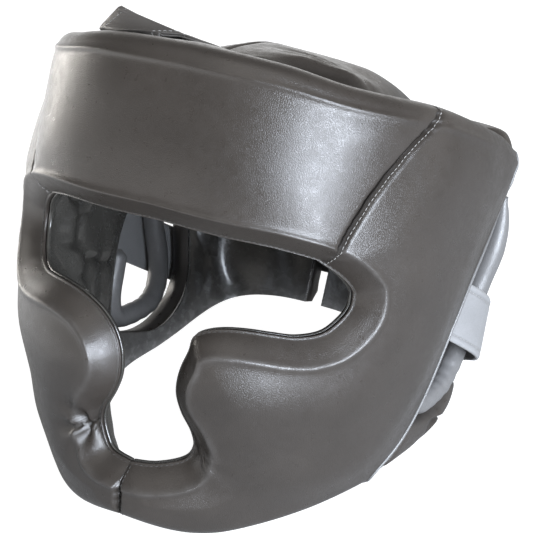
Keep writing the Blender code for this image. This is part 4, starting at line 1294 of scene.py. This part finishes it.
def ear_roll(side):
    """Padded roll round the rear of the ear opening, creased where it bends under the ear."""
    radius = EAR_ROLL_DIAMETER / 2
    rows = np.array(EAR_ROLL_PATH)
    z = level_to_height(rows[:, 1])
    y = rear_edge_y(z) + rows[:, 0] * EAR_OPENING_REACH
    shares = np.linspace(0, 1, 120)
    line = walk(curve_through(np.stack([y, z, rows[:, 2] * radius], 1)), shares)
    path = to_world(inset_surface(angle_at_y(line[:, 0], line[:, 1]), line[:, 1], line[:, 2]), side)
    creased = ridge_at(shares, ROLL_BEND, ROLL_BEND_REACH) * (1 + np.sin(shares * 150)) / 2
    size = radius * (1 - 0.07 * creased - 0.02 * np.sin(shares * 31) ** 2)
    size *= np.clip(np.minimum(shares / ROLL_TAPER, (1 - shares) / 0.02), 0.12, 1) ** 0.5
    out = np.stack([np.full(len(path), float(side)), 0 * shares, 0 * shares], 1)
    mesh = tube_mesh(path, np.stack([size, size], 1), 24, out)
    marks = {"wear_and_highlight": np.full(len(mesh[0]), 0.1), "fold": np.zeros(len(mesh[0]))}
    piece(side_name("ear_bolster", side), mesh, LOOKS["roll"],
          side_name("ear_roll", side), marks)


def strap_rounding(edge, depth, reach, hem):
    """How far a strap's skin draws in: rounded off at its edges, with a groove along the hem."""
    return depth * (1 - smooth(edge / reach)) + HEM_GROOVE * hem


def ear_strap(side):
    """Strap from behind the side pad's rear edge, back over the roll to the rear panel."""
    shares = np.linspace(0, 1, 60)
    across = np.linspace(0, EAR_STRAP_HEIGHT, 34)
    tucks = hermite(shares, [row[0] for row in EAR_STRAP_PATH], [row[1] for row in EAR_STRAP_PATH])
    z = EAR_STRAP_LEVEL - shares[:, None] * EAR_STRAP_SLOPE - across[None]
    y = rear_edge_y(z) + SEAT_GAP + shares[:, None] * EAR_STRAP_LENGTH
    depth = np.broadcast_to(tucks[:, None] * EAR_STRAP_BOW, z.shape)
    edge = np.minimum(across, EAR_STRAP_HEIGHT - across)
    hem = ridge_at(edge, STRAP_HEM, STRAP_HEM_WIDTH)
    draw = strap_rounding(edge, *STRAP_EDGE, hem)[None]
    angle = angle_at_y(y, z)
    outer = to_world(inset_surface(angle, z, depth + draw), side)
    inner = to_world(inset_surface(angle, z, depth + STRAP_THICKNESS), side)
    # Lighter colour: wear at the strap's edges. Dark: painted shade in the groove of its hems.
    lightening = np.broadcast_to(0.5 * np.exp(-edge / STRAP_EDGE[1]), z.shape)
    marks = {"wear_and_highlight": np.stack([lightening, 0 * z]),
             "fold": np.stack([np.broadcast_to(0.8 * hem, z.shape), 0 * z])}
    piece(side_name("ear_band", side), slab_mesh(outer, inner), LOOKS["strap"],
          side_name("ear_strap", side), marks)
    skin = with_normals(outer)
    for label, column in (("upper", 4), ("lower", 29)):
        stitches(side_name(f"ear_band_{label}_stitches", side), skin[:, column])


def back_strap():
    """Closure strap across the gap between the rear panels."""
    reach = BACK_STRAP_LENGTH / 2 / BACK_REACH
    along = np.linspace(-1, 1, 70)
    across = np.linspace(0, BACK_STRAP_HEIGHT, 48)
    levels = BACK_STRAP_LEVEL - BACK_STRAP_HEIGHT / 2 + across
    angle, z = np.meshgrid(np.pi + along * reach, levels, indexing="ij")
    base = PAD_THICKNESS - REAR_THICKNESS - SEAT_GAP
    end = (1 - np.abs(along)) * BACK_STRAP_LENGTH / 2
    edge = np.minimum(np.minimum(across, BACK_STRAP_HEIGHT - across)[None], end[:, None])
    hem = ridge_at(edge, BAND_HEM, BAND_HEM_WIDTH)
    draw = strap_rounding(edge, *BAND_EDGE, hem)
    outer = to_world(inset_surface(angle, z, base - BACK_STRAP_THICKNESS + draw), 1)
    inner = to_world(inset_surface(angle, z, base + 0 * z), 1)
    # Lighter colour: wear at the strap's edges. Dark: painted shade in the groove of its hems.
    marks = {"wear_and_highlight": np.stack([0.5 * np.exp(-edge / BAND_EDGE[1]), 0 * z]),
             "fold": np.stack([0.8 * hem, 0 * z])}
    piece("closure_band", slab_mesh(outer, inner), LOOKS["strap"], "back_strap", marks)
    skin = with_normals(outer)
    first = 3
    last = -first - 1
    loop = np.vstack([skin[first:-first, first], skin[last, first:-first], skin[last:first:-1, last],
                      skin[first, last:first:-1]])
    stitches("closure_band_stitches", loop)


def crown_height(x, y):
    """Top of the crown pads over a place in plan."""
    return (CROWN_HEIGHT + CROWN_RISE - CROWN_FALL_SIDE * (x / HALF_WIDTH) ** 2
            - CROWN_FALL_BACK * smooth((y + FRONT_REACH * 0.3) / BACK_REACH)
            - CROWN_RIGHT_DROP * smooth(-x / HALF_WIDTH / 0.3))


def crown_folds(spots, tuck):
    """Slack folds that fan out over a crown flap from where the brow seam's end draws it in."""
    offset = tuck[:2] - spots[..., :2]
    distance = np.linalg.norm(offset, axis=-1)
    slack = np.zeros(distance.shape)
    for turn, depth, reach, spread in CROWN_FOLDS:
        aside = distance * np.sin(np.arctan2(offset[..., 1], offset[..., 0]) - math.radians(turn))
        width = 0.0015 + spread * distance
        ahead = offset[..., 0] > 0
        fade = smooth(distance / 0.008) * (1 - smooth((distance - reach) / 0.050))
        slack += depth * np.exp(-(aside / width) ** 2) * ahead * fade
    return slack


def crown_pad(side):
    """Soft flap over one half of the crown, sewn in below the rim, with long slack folds."""
    angles = np.radians(np.linspace(CROWN_START, CROWN_END, 90))
    seat = rim_height(angles) - CROWN_SEAT
    border = inset_surface(angles, seat, np.full(len(angles), CROWN_INSET))
    centre_y = np.linspace(border[0, 1] + CROWN_HEM, border[-1, 1] - CROWN_HEM, len(border))
    centre = np.stack([np.full(len(border), CROWN_SPLIT / 2), centre_y, seat], 1)
    shares = np.linspace(0, 1, 44) ** 1.15
    tops = border[:, None, :] + (centre - border)[:, None, :] * shares[None, :, None]
    rise = np.broadcast_to(smooth(shares / CROWN_SHOULDER) ** 0.6, tops.shape[:2])
    degrees = np.degrees(angles)[:, None]
    tuck = 1 - CROWN_TUCK * ridge_at(degrees, CROWN_TUCK_ANGLE, CROWN_TUCK_SPREAD) * (1 - shares)
    full = crown_height(tops[..., 0] * side, tops[..., 1])
    ends = np.sin(np.pi * np.linspace(0.03, 0.97, len(border)))[:, None] ** 0.35
    lifted = seat[:, None] + (full - seat[:, None]) * rise * tuck * ends
    puff = ridge_at(degrees, CROWN_PUFF_ANGLE, CROWN_PUFF_SPREAD)
    puff = puff * ridge_at(shares[None], CROWN_PUFF_PLACE, CROWN_PUFF_REACH)
    lifted = lifted + CROWN_PUFF * puff
    seam_end = border[np.argmin(np.abs(degrees - CROWN_TUCK_ANGLE))]
    slack = crown_folds(tops, seam_end) * smooth(shares / 0.08)
    lower = tops.copy()
    lower[..., 2] = lifted - CROWN_PAD_THICKNESS
    tops[..., 2] = lifted - CROWN_FOLD_DEPTH * slack
    # Dark: painted shade in the slack folds of the flap.
    marks = {"wear_and_highlight": np.zeros((2, *slack.shape)),
             "fold": np.stack([np.clip(slack, 0, 1), 0 * slack])}
    piece(side_name("crown_flap", side), slab_mesh(to_world(tops, side), to_world(lower, side)),
          LOOKS["pad"], side_name("crown_pad", side), marks)


def thickened(grid, thickness):
    """The grid's other skin, under it by a thickness."""
    normal = np.cross(np.gradient(grid, axis=0), np.gradient(grid, axis=1))
    normal /= np.linalg.norm(normal, axis=-1, keepdims=True)
    return grid + normal * thickness


def softened(points, passes=2):
    """Fine polyline along straight runs between the points, with the corners rounded off."""
    shares = np.linspace(0, 1, 10, endpoint=False)[:, None]
    runs = [start + (end - start) * shares for start, end in zip(points, points[1:])]
    fine = np.vstack(runs + [points[-1:]])
    for _ in range(passes):
        fine[1:-1] = (fine[:-2] + 2 * fine[1:-1] + fine[2:]) / 4
    return fine


def crown_strap():
    """Flat strap sewn inside the front rim, leant over it, folded and laid back over the crown."""
    share = np.linspace(0, 1, 9)
    ends = np.array(CROWN_STRAP_FOLD) * (HALF_WIDTH, -FRONT_REACH, CROWN_HEIGHT)
    fold = ends[0] + (ends[1] - ends[0]) * share[:, None] + (0, 0, CROWN_HEIGHT)
    turn = math.radians(CROWN_STRAP_TURN)
    run = np.array([math.sin(turn), math.cos(turn)])
    first, last = np.radians(CROWN_STRAP_SEAT_ANGLES)
    angle = first + (last - first) * share
    rim = rim_height(angle)
    inset = np.full(len(angle), CROWN_STRAP_INSET)
    rows = [inset_surface(angle, rim - CROWN_STRAP_SEAT, inset),
            inset_surface(angle, rim + CROWN_STRAP_CLEARANCE, inset)]
    lean = inset_surface(angle, rim, inset - CROWN_STRAP_OVERHANG * (1 - share))
    lean[:, 2] = rim + CROWN_STRAP_CLEARANCE
    rows += [lean, fold]
    for reach, kept in CROWN_STRAP_PROFILE:
        spots = fold[:, :2] + run * reach * CROWN_STRAP_LENGTH
        over = crown_height(spots[:, 0], spots[:, 1]) + CROWN_STRAP_LIFT + STRAP_THICKNESS
        rows.append(np.column_stack([spots, over + (fold[:, 2] - over) * kept]))
    rows = np.array(rows)
    lengthwise = np.stack([softened(rows[:, k]) for k in range(rows.shape[1])], 1)
    outer = np.stack([walk(line, np.linspace(0, 1, 30)) for line in lengthwise])
    layers = []
    for depth in (0.0, STRAP_THICKNESS * 0.55):
        top = thickened(outer, depth)
        layers.append(slab_mesh(to_world(top, 1), to_world(thickened(top, STRAP_THICKNESS * 0.42), 1)))
    mesh = joined(layers)
    marks = {"wear_and_highlight": np.full(len(mesh[0]), 0.05), "fold": np.zeros(len(mesh[0]))}
    piece("crown_band", mesh, LOOKS["band"], "crown_strap", marks)
    skin = with_normals(to_world(outer, 1))
    if skin[-1, :, 5].mean() < 0:
        skin[..., 3:] *= -1
    for label, column in (("left", 26), ("right", 3)):
        stitches(f"crown_band_{label}_stitches", skin[:, column])


# Stage

def white_floor():
    """Floor that looks white to the camera and lights the guard less than it looks."""
    mesh = bpy.data.meshes.new("studio_floor")
    corners = [(-1, -1), (1, -1), (1, 1), (-1, 1)]
    mesh.from_pydata([(x * FLOOR_REACH, y * FLOOR_REACH, -FLOOR_DROP) for x, y in corners], [],
                     [(0, 1, 2, 3)])
    material = bpy.data.materials.new("white_floor")
    material.use_nodes = True
    tree = material.node_tree
    shader = tree.nodes["Principled BSDF"]
    shader.inputs["Base Color"].default_value = (0.30, 0.30, 0.30, 1)
    shader.inputs["Roughness"].default_value = 0.9
    shader.inputs["Specular IOR Level"].default_value = 0.1
    shader.inputs["Emission Color"].default_value = (1, 1, 1, 1)
    rays = add_node(tree, "ShaderNodeLightPath")
    place = add_node(tree, "ShaderNodeTexCoord")
    axes = add_node(tree, "ShaderNodeSeparateXYZ")
    tree.links.new(place.outputs["Object"], axes.inputs[0])
    light = add_node(tree, "ShaderNodeMapRange", {"interpolation_type": "SMOOTHSTEP"},
                     {"From Min": -0.10, "From Max": -0.45, "To Min": FLOOR_LIGHT,
                      "To Max": FLOOR_LIGHT_RIGHT})
    tree.links.new(axes.outputs["X"], light.inputs["Value"])
    glow = add_node(tree, "ShaderNodeMapRange", None, {"To Max": FLOOR_SEEN})
    tree.links.new(light.outputs["Result"], glow.inputs["To Min"])
    tree.links.new(rays.outputs["Is Camera Ray"], glow.inputs["Value"])
    tree.links.new(glow.outputs["Result"], shader.inputs["Emission Strength"])
    mesh.materials.append(material)
    floor = placed("studio_floor", mesh)


def direction(azimuth, elevation):
    """Seen from the guard: degrees from the front towards the wearer's left, and degrees up."""
    a = math.radians(azimuth)
    e = math.radians(elevation)
    return Vector((math.sin(a) * math.cos(e), -math.cos(a) * math.cos(e), math.sin(e)))


def soft_light(name, azimuth, elevation, distance, size, power, colour):
    data = bpy.data.lights.new(name, "AREA")
    data.shape = "RECTANGLE"
    data.size, data.size_y = size
    data.energy = power
    data.color = colour
    light = placed(name, data)
    spot = direction(azimuth, elevation) * distance
    light.location = spot + Vector((0, 0, EYE_LEVEL))
    light.rotation_mode = "QUATERNION"
    light.rotation_quaternion = (-spot).to_track_quat("-Z", "Y")


def studio_air():
    """Pale light from all round, weaker from above."""
    world = bpy.data.worlds.new("studio")
    bpy.context.scene.world = world
    world.use_nodes = True
    tree = world.node_tree
    background = tree.nodes["Background"]
    place = add_node(tree, "ShaderNodeTexCoord")
    axes = add_node(tree, "ShaderNodeSeparateXYZ")
    tree.links.new(place.outputs["Generated"], axes.inputs[0])
    strength = add_node(tree, "ShaderNodeMapRange", {"interpolation_type": "SMOOTHSTEP"},
                        {"From Min": 0.0, "From Max": AIR_RISE, "To Min": AIR_LOW, "To Max": AIR_HIGH})
    tree.links.new(axes.outputs["Z"], strength.inputs["Value"])
    tree.links.new(strength.outputs["Result"], background.inputs["Strength"])
    background.inputs["Color"].default_value = (1.0, 0.97, 0.93, 1)


def camera():
    data = bpy.data.cameras.new("photo_camera")
    data.sensor_width = SENSOR_WIDTH
    data.lens = FOCAL_PIXELS / PHOTO_PIXELS * SENSOR_WIDTH
    eye = placed("photo_camera", data)
    back = direction(CAMERA_AZIMUTH, CAMERA_ELEVATION)
    turn = math.radians(CAMERA_AZIMUTH)
    right = Vector((math.cos(turn), math.sin(turn), 0))
    up = back.cross(right)
    place = right * CAMERA_ACROSS + up * CAMERA_ABOVE + back * CAMERA_DISTANCE
    place += Vector((0, -BOX_MIDDLE, EYE_LEVEL))
    eye.matrix_world = Matrix.Translation(place) @ Matrix((right, up, back)).transposed().to_4x4()
    bpy.context.scene.camera = eye


forehead()
back_strap()
crown_strap()
for half in (1, -1):
    side_pad(half)
    rear_panel(half)
    ear_roll(half)
    ear_strap(half)
    crown_pad(half)
white_floor()
studio_air()
for row in LIGHTS:
    soft_light(*row)
camera()
bpy.context.scene.view_settings.view_transform = "Standard"
